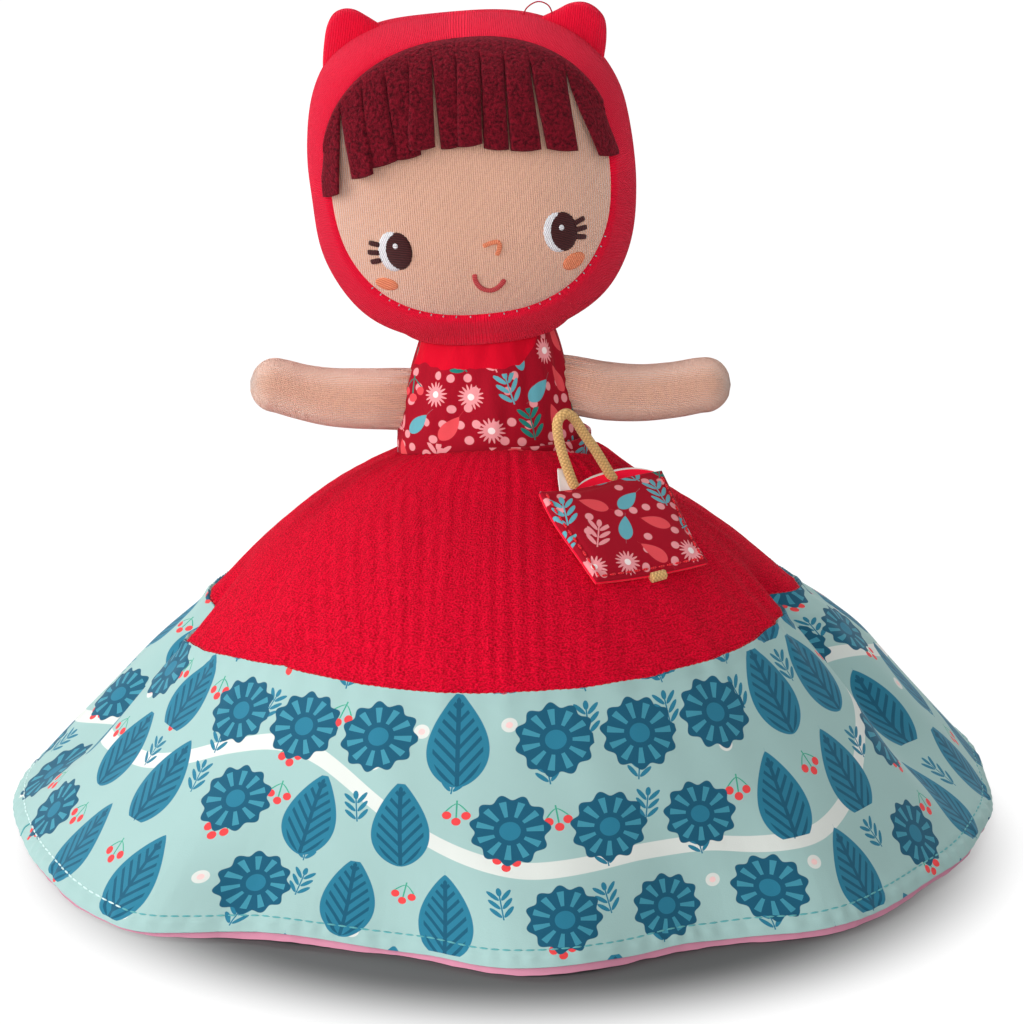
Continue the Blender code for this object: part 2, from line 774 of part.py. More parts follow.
def add_handle(pivot):
    """A loop of cord that stands up from the bag's top seam and leans to one side."""
    across = bag_axes()[1]
    points = []
    for index in range(HANDLE_POINTS + 1):
        angle = math.pi * index / HANDLE_POINTS
        rise = math.sin(angle)
        sideways = HANDLE_SHIFT - HANDLE_WIDTH / 2 * math.cos(angle)
        leaned = handle_foot(sideways) - across * HANDLE_LEAN * rise
        points.append(leaned + UP * HANDLE_HEIGHT * rise)
    add_tube("bag_handle", points, pivot)


def add_cord_end(pivot):
    """The cord's end, which shows below the bag's bottom seam."""
    drop = BAG_DROP + BAG_LENGTH + HANDLE_CORD / 2 + TOUCHING_GAP
    ends = (BAG_SIDE_SHIFT, BAG_SIDE_SHIFT + CORD_END_LENGTH)
    add_tube("bag_cord_end", [bag_point(end, drop, 0) for end in ends], pivot)


def add_tab(pivot):
    """A plain ribbon tab that stands behind the handle's left leg."""
    across = bag_axes()[1]
    towards_waist = -outward(FULL_TURN / GORE_COUNT * BAG_GORE)
    clear = HANDLE_CORD / 2 + TOUCHING_GAP

    def side(offset):
        def point(share_across, share_up):
            foot = handle_foot(HANDLE_SHIFT + TAB_SHIFT - TAB_WIDTH / 2)
            sideways = across * share_across * TAB_WIDTH
            return foot + sideways + towards_waist * (clear + offset) + UP * TAB_HEIGHT * share_up

        return point

    tab = cloth_shell(side(TAB_CLOTH), side(0), 1, 2)
    add_piece("bag_tab", tab, "ribbon_white", pivot)


clear_scene()
PARTS = new_collection("topsy_turvy_doll")
CUTTERS = new_collection("cutters")
MATERIALS = {name: new_material(name, *finish) for name, finish in COLOURS.items()}

trunk_pivot = new_pivot("trunk", (0, 0, WAIST_HEIGHT))
upper_neck_pivot = new_pivot("neck_upper", upper_neck(), trunk_pivot)
hidden_neck_pivot = new_pivot("neck_hidden", hidden_neck(), trunk_pivot)

add_bodices(trunk_pivot)
add_waist_tape(trunk_pivot)
add_head("upper", upper_neck_pivot)
add_ears(upper_neck_pivot)
add_head("hidden", hidden_neck_pivot)
for arm_place in ("upper", "hidden"):
    for arm_name, arm_side in (("left", -1), ("right", 1)):
        add_arm(arm_place, arm_name, arm_side, trunk_pivot)
gore_pivots = [add_gore(gore, trunk_pivot) for gore in range(GORE_COUNT)]
add_bag(gore_pivots[BAG_GORE])
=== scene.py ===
"""The looks of the topsy-turvy doll: cloth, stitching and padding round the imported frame.

Metres, Z up. The upper doll looks along -Y, and an azimuth runs from the front (0) to the
viewer's right (positive). The skirt is cut in twelve gores, as its joints are.
"""

import math

import bmesh
import bpy
import numpy as np
from mathutils import Matrix, Vector


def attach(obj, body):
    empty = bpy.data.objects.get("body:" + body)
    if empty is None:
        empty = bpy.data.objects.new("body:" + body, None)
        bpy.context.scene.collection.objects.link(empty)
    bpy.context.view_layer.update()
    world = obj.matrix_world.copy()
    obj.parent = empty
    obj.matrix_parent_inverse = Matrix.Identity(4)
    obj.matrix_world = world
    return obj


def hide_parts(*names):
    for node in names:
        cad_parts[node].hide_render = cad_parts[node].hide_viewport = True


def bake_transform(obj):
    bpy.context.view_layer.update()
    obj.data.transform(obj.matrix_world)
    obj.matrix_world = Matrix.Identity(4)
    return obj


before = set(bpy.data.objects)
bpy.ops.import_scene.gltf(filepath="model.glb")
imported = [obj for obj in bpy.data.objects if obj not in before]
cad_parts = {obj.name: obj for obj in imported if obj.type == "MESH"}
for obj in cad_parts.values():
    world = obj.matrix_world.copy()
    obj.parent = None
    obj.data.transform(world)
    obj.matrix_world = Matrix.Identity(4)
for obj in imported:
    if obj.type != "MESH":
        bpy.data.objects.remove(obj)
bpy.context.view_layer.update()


# Camera. It stands a metre in front of the doll, a little above it and looking down, with a long
# lens, as in the photograph.
CAMERA_PLACE = (0, -1.0, 0.3779)
CAMERA_PITCH_DEGREES = 16.155
CAMERA_YAW_DEGREES = 0.115
CAMERA_LENS_MM = 122.73

camera_data = bpy.data.cameras.new("camera")
camera_data.lens = CAMERA_LENS_MM
camera = bpy.data.objects.new("camera", camera_data)
camera.location = CAMERA_PLACE
camera.rotation_euler = (
    math.radians(90 - CAMERA_PITCH_DEGREES),
    0,
    -math.radians(CAMERA_YAW_DEGREES),
)
bpy.context.scene.collection.objects.link(camera)
bpy.context.scene.camera = camera


# Room. A seamless sheet of white paper under and behind the doll. As the camera sees it, the paper is
# painted dark grey and glows brighter away from the doll's hem: a painted shadow round the hem.
# Two large soft lights stand low at the left and in front, and one shines down from behind.
PAPER_WIDTH = 12.0
PAPER_FRONT = -4.0
PAPER_BEND = 2.5
PAPER_BEND_RADIUS = 1.0
PAPER_TOP = 5.0
BEND_STEPS = 16
PAPER_COLOUR = (0.55, 0.55, 0.55, 1)
# Seen from the camera, the paper takes a painted dark grey, and glows from none by the hem to white
# further out: together a painted shadow round the hem.
PAPER_PAINTED_SHADOW_COLOUR = (0.14, 0.14, 0.14, 1)
PAPER_PAINTED_GLOW = (0.0, 0.92)
PAINTED_SHADOW_REACH = (0.120, 0.167)
PAPER_SHADE_MIDDLE = (0.004, -0.035, 0)
PAPER_SHADE_STRETCH = (1.08, 1.1, 1)
WHITE = (1, 1, 1, 1)
WORLD_STRENGTH = 0.36
SOFT_SUNS = (
    # name, direction that it comes from, angle across in degrees, strength
    ("window_left", (-1.0, -0.45, 0.32), 45, 2.5),
    ("window_front", (0.1, -1.0, 0.16), 70, 1.6),
    ("lamp_behind", (-0.35, 0.75, 0.95), 32, 2.9),
)


class Signal:
    """A socket of a shader tree. Arithmetic on it adds Math nodes to that tree."""

    def __init__(self, tree, socket):
        self.tree = tree
        self.socket = socket

    def __add__(self, other):
        return calc(self.tree, "ADD", self, other)

    def __sub__(self, other):
        return calc(self.tree, "SUBTRACT", self, other)

    def __rsub__(self, other):
        return calc(self.tree, "SUBTRACT", other, self)

    def __mul__(self, other):
        return calc(self.tree, "MULTIPLY", self, other)

    def __truediv__(self, other):
        return calc(self.tree, "DIVIDE", self, other)

    def __pow__(self, other):
        return calc(self.tree, "POWER", self, other)

    def __gt__(self, other):
        return calc(self.tree, "GREATER_THAN", self, other)

    def __lt__(self, other):
        return calc(self.tree, "LESS_THAN", self, other)


def feed(tree, value, socket):
    """Links a signal to a socket, or sets the socket to a plain value."""
    if isinstance(value, Signal):
        value = value.socket
    if isinstance(value, bpy.types.NodeSocket):
        tree.links.new(value, socket)
    elif value is not None:
        socket.default_value = value


def wire(tree, kind, *inputs, **settings):
    """Adds a shader node and fills its inputs in order, each with a signal or a value."""
    added = tree.nodes.new("ShaderNode" + kind)
    for key, value in settings.items():
        setattr(added, key, value)
    for socket, value in zip(added.inputs, inputs):
        feed(tree, value, socket)
    return added


def calc(tree, operation, *values):
    return Signal(tree, wire(tree, "Math", *values, operation=operation).outputs[0])


def length_of(tree, vector):
    return Signal(tree, wire(tree, "VectorMath", vector, operation="LENGTH").outputs["Value"])


def mix_colours(tree, share, first, second):
    mixed = wire(tree, "Mix", share, data_type="RGBA")
    feed(tree, first, mixed.inputs[6])
    feed(tree, second, mixed.inputs[7])
    return mixed.outputs[2]


def seen_rays(tree):
    """1 for a ray from the camera, from a mirror or through glass, 0 for one that lights the doll."""
    rays = wire(tree, "LightPath").outputs
    seen = calc(tree, "MAXIMUM", rays["Is Camera Ray"], rays["Is Glossy Ray"])
    return calc(tree, "MAXIMUM", seen, rays["Is Transmission Ray"])


def mesh_object(name, points, faces):
    mesh = bpy.data.meshes.new(name)
    mesh.from_pydata([tuple(point) for point in points], [], faces)
    mesh.validate()
    mesh.shade_smooth()
    obj = bpy.data.objects.new(name, mesh)
    bpy.context.scene.collection.objects.link(obj)
    return obj


paper_line = [(PAPER_FRONT, 0.0)]
for step in range(BEND_STEPS + 1):
    angle = step / BEND_STEPS * math.pi / 2
    paper_line.append((
        PAPER_BEND + PAPER_BEND_RADIUS * math.sin(angle),
        PAPER_BEND_RADIUS * (1 - math.cos(angle)),
    ))
paper_line.append((PAPER_BEND + PAPER_BEND_RADIUS, PAPER_TOP))
paper_points = [
    (side * PAPER_WIDTH / 2, depth, height) for depth, height in paper_line for side in (-1, 1)
]
paper_faces = [
    (2 * row, 2 * row + 1, 2 * row + 3, 2 * row + 2) for row in range(len(paper_line) - 1)
]
paper = mesh_object("paper", paper_points, paper_faces)
paper_material = bpy.data.materials.new("paper")
paper_material.use_nodes = True
paper_tree = paper_material.node_tree
paper_shader = paper_tree.nodes["Principled BSDF"]
paper_shader.inputs["Roughness"].default_value = 1
paper_shader.inputs["Specular IOR Level"].default_value = 0
seen = seen_rays(paper_tree)
painted_paper_colour = mix_colours(paper_tree, seen, PAPER_COLOUR, PAPER_PAINTED_SHADOW_COLOUR)
feed(paper_tree, painted_paper_colour, paper_shader.inputs["Base Color"])
paper_place = wire(paper_tree, "TexCoord").outputs["Object"]
away = wire(paper_tree, "VectorMath", paper_place, PAPER_SHADE_MIDDLE, operation="SUBTRACT")
away = wire(paper_tree, "VectorMath", away.outputs[0], PAPER_SHADE_STRETCH, operation="MULTIPLY")
# Painted glow for the camera: none close round the hem, where the dark grey paper shows as a painted
# shadow, rising to white further away.
painted_paper_glow = wire(
    paper_tree, "MapRange", length_of(paper_tree, away.outputs[0]), *PAINTED_SHADOW_REACH, *PAPER_PAINTED_GLOW,
    interpolation_type="SMOOTHSTEP",
)
feed(paper_tree, seen * painted_paper_glow.outputs[0], paper_shader.inputs["Emission Strength"])
feed(paper_tree, WHITE, paper_shader.inputs["Emission Color"])
paper.data.materials.append(paper_material)

world = bpy.data.worlds.new("studio")
world.use_nodes = True
world_tree = world.node_tree
background = world_tree.nodes["Background"]
strength = wire(world_tree, "Mix", seen_rays(world_tree), None, WORLD_STRENGTH, 1.0)
feed(world_tree, WHITE, background.inputs["Color"])
feed(world_tree, strength.outputs[0], background.inputs["Strength"])
bpy.context.scene.world = world
bpy.context.scene.view_settings.view_transform = "Standard"

for sun_name, sun_from, sun_degrees, sun_strength in SOFT_SUNS:
    sun = bpy.data.lights.new(sun_name, "SUN")
    sun.angle = math.radians(sun_degrees)
    sun.energy = sun_strength
    holder = bpy.data.objects.new(sun_name, sun)
    holder.rotation_euler = (-Vector(sun_from)).to_track_quat("-Z", "Y").to_euler()
    bpy.context.scene.collection.objects.link(holder)


# Skirt yoke. Red double-gauze cotton, crinkled like muslin and gathered into the waist, where it
# rolls over the foot of the bodice. It is cut in twelve gores, each with an underlap that reaches
# under the next gore.
GORE_COUNT = 12
GORE_SPAN = 2 * math.pi / GORE_COUNT
WAIST_RADIUS = 0.033
WAIST_HEIGHT = 0.110
SEAM_HEIGHT = 0.063
SEAM_RIGHT_RISE = 0.004
SEAM_RADIUS = 0.095
SEAM_FRONT_REACH = 0.006
YOKE_BULGE = 0.005
YOKE_BULGE_LEAN_SHARE = 0.85
YOKE_SIDE_DIP = -0.003
YOKE_FRONT_PUFF = 0.0078
YOKE_PUFF_SHARE = 0.13
BODICE_WAIST_HALF_WIDTH = 0.0255
BODICE_WAIST_HALF_DEPTH = 0.0204
BODICE_WAIST_SHIFT = -0.003
YOKE_FOOT_OVERLAP = 0.0004
YOKE_TURN_SHARE = 0.1
YOKE_TURN_RISE = 0.0056
YOKE_TURN_DROP = 0.0045
PLEAT_PITCH = 0.0043
PLEAT_DEPTH = 0.0003
GATHERS_IN_TURN = 58
GATHER_DEPTH = 0.00028
CRUMPLE_DEPTH = 0.00022
SEAM_SHIFTS = (
    # azimuth in degrees, how far the border's seam lies above the skirt's fold line, in metres
    (-180, 0.004), (-110, 0.006), (-92, 0.006), (-84, 0.001), (-74, -0.0018), (-60, 0.0006),
    (-50, 0.0026), (-40, 0.0038), (-30, 0.0034), (-20, 0.0028), (-10, 0.0023), (10, 0.0021),
    (20, 0.0022), (30, 0.0026), (40, 0.0029), (50, 0.004), (60, 0.0064), (75, 0.009),
    (110, 0.007), (180, 0.004),
)
SKIRT_FOLDS = (
    # azimuth in degrees at the seam and at the hem, half-width in degrees, depth in metres, and
    # the shares of the skirt's length between which it grows and between which it fades
    (-83, -84, 6, 0.0100, (0.55, 1.0), (1.55, 1.95)),
    (72, 75, 6.5, 0.0120, (0.5, 1.0), (1.5, 1.95)),
    (51, 53, 2.4, 0.0011, (0.3, 0.8), (0.95, 1.15)),
    (58, 59, 2.0, 0.0010, (0.4, 0.85), (0.95, 1.15)),
    (-30, -24, 12, 0.0042, (1.1, 1.9), (3, 4)),
    (-62, -64, 7, 0.0022, (1.1, 1.6), (1.7, 2.0)),
    (22, 21, 11, 0.0038, (1.1, 1.9), (3, 4)),
    (118, 122, 11, 0.0060, (0.9, 1.7), (3, 4)),
    (145, 146, 12, 0.0070, (0.9, 1.7), (3, 4)),
    (172, 172, 13, 0.0070, (0.9, 1.7), (3, 4)),
    (-150, -150, 11, 0.0070, (0.9, 1.7), (3, 4)),
    (-118, -114, 11, 0.0080, (0.9, 1.7), (3, 4)),
)
HEM_RADIUS = 0.145
HEM_CLEARANCE = 0.0006
HEM_STITCH_SHARE = 0.918
HEM_PUFF_SHARE = 0.94
HEM_WAVE = 0.0006
HEM_LIFT = 0.0004
HEM_GROOVE = 0.0003
HEM_PUFF = 0.0006
HEM_PUCKERS = 131
BORDER_BELLY = 0.0014
HEM_FORM = (
    # azimuth in degrees, how far the hem's edge is lifted there, and how far it reaches out
    (-180, 0, 0), (-130, 0, 0), (-93, 0, 0.0042), (-79, 0, 0.0041), (-64, 0, 0.0052),
    (-54, 0, 0.0075), (-46, 0, 0.0080), (-40, 0, 0.0106), (-34, 0.0009, -0.0070),
    (-28, 0.0009, -0.0047), (-20, 0.0009, -0.0082), (-11, 0.0009, -0.0131), (-4, 0.0009, -0.0052),
    (4, 0.0009, -0.0013), (12, 0.0009, -0.0029), (19, 0.0009, -0.0057), (25, 0.0009, -0.0066),
    (31, 0.0009, -0.0058), (38, 0.0009, 0.0034), (50, 0.0009, -0.0009), (75, 0, 0.0023),
    (93, 0, 0.0036), (106, 0, 0.0065), (130, 0, 0), (180, 0, 0),
)
YOKE_SAGS = (
    # azimuth in degrees, and how far the yoke sinks there between the waist and the seam
    (-180, 0.0030), (-125, 0.0045), (-98, 0.0042), (-70, 0), (50, 0), (75, 0.0060), (100, 0.0105),
    (135, 0.0100), (165, 0.0040), (180, 0.0030),
)
TABLE_SPREAD_DEGREES = (-4, -2, 0, 2, 4)
NORMAL_STEP = 0.0004
YOKE_CLOTH = 0.0011
YOKE_COLUMNS = 84
YOKE_ROWS = 56
UNDERLAP_WIDTH = 0.021
UNDERLAP_BACK = 0.002
UNDERLAP_GAP = 0.0004
UNDERLAP_CLOTH = 0.0004
UNDERLAP_COLUMNS = 10
UNDERLAP_SHARES = (0.12, 0.985)
LEDGE_SCALLOPS = 276
LEDGE_SCALLOP_SHARE = 0.25
LEDGE_REACH_SHARE = 0.035
YOKE_MEAN_RADIUS = 0.065
YOKE_SLANT = 0.078
UPRIGHT_WRINKLE = (0.0010, 0.0034)
LEVEL_WRINKLE = (0.0028, 0.0009)
CREPE_GRAIN = (0.00055, 0.0005)
MUSLIN_RED = (0.84, 0.0004, 0.030, 1)
# colour of the crinkles' low parts: painted shade in their hollows
MUSLIN_PAINTED_SHADE = (0.46, 0.0001, 0.011, 1)
MUSLIN_SHEEN = (1, 0.10, 0.18, 1)
MUSLIN_RELIEF = 0.0008
SEAM_PUCKER_DEPTH = 0.00022
SEAM_PUCKERS = 62


def ripple(azimuth, along, around, down, seed, waves=8):
    """Small waves that meet again after a turn, about `around` of them and `down` radians long."""
    draws = np.random.default_rng(seed)
    height = 0
    for _ in range(waves):
        count = round(draws.uniform(0.4, 1.6) * around)
        slope = draws.uniform(-1.3, 1.3) * down
        offset = draws.uniform(0, 2 * math.pi)
        height = height + np.sin(count * azimuth + slope * along + offset)
    return height / math.sqrt(waves)


def rise_between(values, low, high):
    share = np.clip((values - low) / (high - low), 0, 1)
    return share * share * (3 - 2 * share)


def bell(away):
    return np.exp(-(away**2))


def unit(vectors):
    return vectors / np.linalg.norm(vectors, axis=-1, keepdims=True)


def seam_radius(azimuth):
    return SEAM_RADIUS + SEAM_FRONT_REACH * np.cos(azimuth)


def seam_height(azimuth):
    return SEAM_HEIGHT + SEAM_RIGHT_RISE * np.sin(azimuth)


def bodice_foot_radius(azimuth):
    across = np.sin(azimuth) / BODICE_WAIST_HALF_WIDTH
    deep = np.cos(azimuth) / BODICE_WAIST_HALF_DEPTH
    return 1 / np.hypot(across, deep) + BODICE_WAIST_SHIFT * np.sin(azimuth)


def looked_up(azimuth, table, column, spreads):
    """A column of a table that starts with azimuths, eased over the spreads in degrees."""
    places = [row[0] for row in table]
    values = [row[column] for row in table]
    total = 0
    for spread in spreads:
        degrees = (np.degrees(azimuth) + spread + 180) % 360 - 180
        total = total + np.interp(degrees, places, values)
    return total / len(spreads)


def around(azimuth, table, column):
    return looked_up(azimuth, table, column, TABLE_SPREAD_DEGREES)


def seam_place(azimuth):
    """Where the yoke ends and the border starts, on the scale of skirt_surface."""
    return 1 - looked_up(azimuth, SEAM_SHIFTS, 1, (0,)) / (SEAM_RADIUS - WAIST_RADIUS)


def fold_depth(azimuth, along):
    depth = 0
    for top_degrees, hem_degrees, half_width, deepest, growing, fading in SKIRT_FOLDS:
        slide = np.clip(along - 1, 0, 1)
        place = np.radians(top_degrees + (hem_degrees - top_degrees) * slide)
        away = (azimuth - place + math.pi) % (2 * math.pi) - math.pi
        valley = bell(away / math.radians(half_width))
        grown = rise_between(along, *growing) * (1 - rise_between(along, *fading))
        depth = depth + deepest * valley * grown
    return depth


def skirt_surface(azimuth, along):
    """The skirt's outside. along is negative in the waist's roll, 0 at the waist, 1 at the level of
    the fold between yoke and border, and 2 at the hem."""
    down = np.clip(along, 0, 1)
    lower = np.clip(along - 1, 0, 1)
    reach = seam_radius(azimuth) - WAIST_RADIUS
    drop = WAIST_HEIGHT - seam_height(azimuth)
    slant = np.hypot(reach, drop)
    radius = WAIST_RADIUS + reach * down + (HEM_RADIUS - seam_radius(azimuth)) * lower
    height = WAIST_HEIGHT - drop * down - (seam_height(azimuth) - HEM_CLEARANCE) * lower

    # the yoke's swell, its upright pleats, the gathers at its waist and its crumples
    bulge = YOKE_BULGE * np.sin(math.pi * down**YOKE_BULGE_LEAN_SHARE)
    free = rise_between(along, 0.05, 0.2) * (1 - rise_between(along, 0.85, 1.0))
    left = 0.3 + 0.7 * rise_between(-np.sin(azimuth - 0.2), -0.5, 0.7)
    wander = 1.6 * np.sin(3 * azimuth + 1) + 0.9 * np.sin(8 * azimuth + 3 * down)
    strength = 0.6 + 0.4 * np.sin(5 * azimuth + 2) * np.sin(13 * azimuth + 1.5 * down)
    upright = np.sin(2 * math.pi * radius * np.sin(azimuth) / PLEAT_PITCH + wander)
    pleats = PLEAT_DEPTH * left * strength * free * np.abs(np.cos(azimuth)) * upright
    near_waist = 1 - rise_between(along, 0.02, 0.3)
    bunch = np.sin(GATHERS_IN_TURN * azimuth + 2.0 * np.sin(9 * azimuth + 1))
    gathers = GATHER_DEPTH * near_waist * bunch * (0.6 + 0.4 * np.sin(13 * azimuth))
    crumple = CRUMPLE_DEPTH * ripple(azimuth, along, 24, 14, 3)
    stand = bulge + pleats + gathers + crumple * rise_between(along, 0.0, 0.1)
    radius = radius + stand * drop / slant
    height = height + stand * reach / slant

    # the puff at the front of the waist, and the roll over the bodice's foot
    front = np.maximum(np.cos(azimuth), 0) ** 1.5
    lift = YOKE_SIDE_DIP + YOKE_FRONT_PUFF * front
    height = height + lift * bell(down / YOKE_PUFF_SHARE)
    turn = np.clip(-along / YOKE_TURN_SHARE, 0, 1)
    inwards = WAIST_RADIUS - bodice_foot_radius(azimuth) + YOKE_FOOT_OVERLAP
    radius = radius - inwards * turn
    height = height + YOKE_TURN_RISE * turn * (1 - turn) ** 2 - YOKE_TURN_DROP * turn**2

    # the folds, the sag of the yoke and the form of the hem
    radius = radius - fold_depth(azimuth, along) + BORDER_BELLY * np.sin(math.pi * lower)
    sinking = rise_between(along, -0.1, 0.22) * (1 - rise_between(along, 0.8, 1.35))
    height = height - around(azimuth, YOKE_SAGS, 1) * sinking
    near_hem = rise_between(lower, 0.3, 1.0)
    height = height + near_hem * around(azimuth, HEM_FORM, 1)
    radius = radius + near_hem * around(azimuth, HEM_FORM, 2)

    # the puckers of the seam and of the hem, where the topstitches draw the cloth in
    near_seam = bell((along - 1) / 0.16)
    radius = radius + SEAM_PUCKER_DEPTH * near_seam * ripple(azimuth, along, SEAM_PUCKERS, 3, 23)
    edge = rise_between(lower, 0.82, 1.0)
    radius = radius + HEM_WAVE * edge * ripple(azimuth, along, 14, 2, 21)
    height = height + HEM_LIFT * edge * (1 + ripple(azimuth, along, 9, 1, 22))
    pucker = 0.35 + 0.35 * np.sin(azimuth) ** 2
    stitches = 1 + pucker * np.sin(HEM_PUCKERS * azimuth + 2 * np.sin(17 * azimuth))
    groove = bell((lower - HEM_STITCH_SHARE) / 0.010)
    puff = bell((lower - HEM_PUFF_SHARE) / 0.035)
    radius = radius - HEM_GROOVE * groove * stitches + HEM_PUFF * puff * stitches
    return np.stack((radius * np.sin(azimuth), -radius * np.cos(azimuth), height), -1)


def surface_normals(azimuth, along):
    """Normals from the surface itself, so that two gores shade as one cloth where they meet."""
    across = skirt_surface(azimuth + NORMAL_STEP, along) - skirt_surface(azimuth - NORMAL_STEP, along)
    down = skirt_surface(azimuth, along + NORMAL_STEP) - skirt_surface(azimuth, along - NORMAL_STEP)
    return unit(np.cross(down, across))


def grid_faces(shape, first):
    """The corner numbers of a grid of points, and its four-sided faces."""
    rows, columns = shape[:2]
    corners = np.arange(rows * columns).reshape(rows, columns) + first
    quads = np.stack((corners[:-1, :-1], corners[1:, :-1], corners[1:, 1:], corners[:-1, 1:]), -1)
    return corners, quads.reshape(-1, 4)


def lay_cloth(mesh, places):
    """Gives each corner of a mesh its place on the cloth, from those of its points."""
    corners = np.zeros(len(mesh.loops), np.int32)
    mesh.loops.foreach_get("vertex_index", corners)
    mesh.uv_layers.new(name="cloth").uv.foreach_set("vector", places[corners].ravel())


def add_shell(parts, outer, inner, normals, places, outer_material, inner_material):
    """Adds a closed sheet between two grids of points."""
    first = sum(len(block) for block in parts["points"])
    for side, points in ((1, outer), (-1, inner)):
        parts["points"].append(points.reshape(-1, 3))
        parts["normals"].append((normals * side).reshape(-1, 3))
        parts["uvs"].append(places.reshape(-1, 2))
    corners, quads = grid_faces(outer.shape, first)
    count = corners.size
    parts["faces"].extend(quads.tolist())
    parts["faces"].extend((quads[:, ::-1] + count).tolist())
    parts["materials"].extend([outer_material] * len(quads) + [inner_material] * len(quads))
    rim = np.concatenate((corners[0], corners[1:, -1], corners[-1, -2::-1], corners[-2:0:-1, 0]))
    ahead = np.roll(rim, -1)
    walls = np.stack((rim, ahead, ahead + count, rim + count), -1)
    parts["faces"].extend(walls.tolist())
    parts["materials"].extend([outer_material] * len(walls))


def add_layer(parts, azimuths, shares, ends, depths, inner_material, ledge=0):
    """Adds a closed sheet between two depths under the skirt's surface. ends gives, for each
    azimuth, where the sheet starts and ends along the skirt. A ledge stands up along its start."""
    azimuth, share = np.meshgrid(azimuths, shares)
    start, end = ends
    along = start(azimuth) * (1 - share) + end(azimuth) * share
    points = skirt_surface(azimuth, along)
    normals = surface_normals(azimuth, along)
    scallops = 1 + LEDGE_SCALLOP_SHARE * np.sin(LEDGE_SCALLOPS * azimuth)
    raised = ledge * scallops * bell(share / LEDGE_REACH_SHARE)
    outer = points - normals * (depths[0] - raised)[..., None]
    places = np.stack((azimuth / (2 * math.pi), along), -1)
    add_shell(parts, outer, points - normals * depths[1], normals, places, 0, inner_material)


def cloth_piece(name, parts):
    obj = mesh_object(name, np.concatenate(parts["points"]), parts["faces"])
    obj.data.polygons.foreach_set("material_index", parts["materials"])
    lay_cloth(obj.data, np.concatenate(parts["uvs"]))
    obj.data.normals_split_custom_set_from_vertices(np.concatenate(parts["normals"]).tolist())
    return obj


def gore_cloth(gore, ends, cells, cloth, lap_radius, inner_material=0, ledge=0):
    """One gore of the skirt: its sheet, and an underlap that reaches under the next gore."""
    parts = {"points": [], "normals": [], "uvs": [], "faces": [], "materials": []}
    middle = gore * GORE_SPAN
    columns, rows = cells
    azimuths = np.linspace(middle - GORE_SPAN / 2, middle + GORE_SPAN / 2, columns + 1)
    shares = np.linspace(0, 1, rows + 1)
    add_layer(parts, azimuths, shares, ends, (0, cloth), inner_material, ledge)
    lap = np.linspace(-UNDERLAP_BACK, UNDERLAP_WIDTH, UNDERLAP_COLUMNS + 1) / lap_radius
    top = cloth + UNDERLAP_GAP
    lap_shares = np.linspace(*UNDERLAP_SHARES, rows // 2)
    seam = middle + GORE_SPAN / 2
    add_layer(parts, seam + lap, lap_shares, ends, (top, top + UNDERLAP_CLOTH), inner_material)
    return parts, azimuths


def gore_direction(gore):
    return Vector((math.sin(gore * GORE_SPAN), -math.cos(gore * GORE_SPAN), 0))


def split(tree, vector):
    return [Signal(tree, part) for part in wire(tree, "SeparateXYZ", vector).outputs]


def joined(tree, *parts):
    return wire(tree, "CombineXYZ", *parts).outputs[0]


def on_cloth(tree):
    """A point's place on its cloth."""
    return wire(tree, "UVMap", uv_map="cloth").outputs[0]


def noise(tree, place, scale, detail, roughness):
    added = wire(tree, "TexNoise", place, None, scale, detail, roughness)
    return Signal(tree, added.outputs[0])


def share_between(signal, low, high):
    added = wire(signal.tree, "MapRange", signal, low, high, 0.0, 1.0)
    return Signal(signal.tree, added.outputs[0])


def new_group(name, inputs, outputs):
    """An empty shader group with a Vector for its first input. Returns it, its inputs as signals
    and a function that takes its results."""
    group = bpy.data.node_groups.new(name, "ShaderNodeTree")
    for in_out, labels in (("INPUT", inputs), ("OUTPUT", outputs)):
        for label in labels:
            kind = "Vector" if label in ("Place", "Local") else "Float"
            group.interface.new_socket(label, in_out=in_out, socket_type="NodeSocket" + kind)
    sockets = list(group.nodes.new("NodeGroupInput").outputs)[:-1]
    given = [Signal(group, socket) for socket in sockets]
    taken = group.nodes.new("NodeGroupOutput").inputs

    def give(*results):
        for socket, value in zip(taken, results):
            feed(group, value, socket)
        return group

    return group, given, give


def crinkle_group():
    """Muslin: a crepe grain over short wrinkles, upright on the left and level on the right. Its
    Shade follows the height, so the hollows are painted darker: painted shade over the grain's random
    tone.
    """
    group, (cloth,), give = new_group("crinkle", ("Place",), ("Height", "Shade"))
    turn, along, _ = split(group, cloth)
    waves = []
    for width, height in (UPRIGHT_WRINKLE, LEVEL_WRINKLE, CREPE_GRAIN):
        across = turn * (2 * math.pi * YOKE_MEAN_RADIUS / width)
        waves.append(noise(group, joined(group, across, along * (YOKE_SLANT / height)), 1.0, 2, 0.55))
    from_front = turn - calc(group, "FLOOR", turn + 0.5)
    side = share_between(from_front, -0.07, 0.05)
    wrinkles = wire(group, "Mix", side, None, waves[0], waves[1]).outputs[0]
    raised = calc(group, "MULTIPLY_ADD", wrinkles, 0.55, waves[2] * 1.35)
    return give(raised, share_between(raised, 0.76, 1.08))


def new_finish(name, roughness, sheen, sheen_tint, colour=None):
    """A cloth material. Returns it with its tree and its shader."""
    material = bpy.data.materials.new(name)
    material.use_nodes = True
    shader = material.node_tree.nodes["Principled BSDF"]
    shader.inputs["Roughness"].default_value = roughness
    shader.inputs["Specular IOR Level"].default_value = 0.1
    shader.inputs["Sheen Weight"].default_value = sheen
    shader.inputs["Sheen Roughness"].default_value = 0.5
    shader.inputs["Sheen Tint"].default_value = sheen_tint
    feed(material.node_tree, colour, shader.inputs["Base Color"])
    return material, material.node_tree, shader


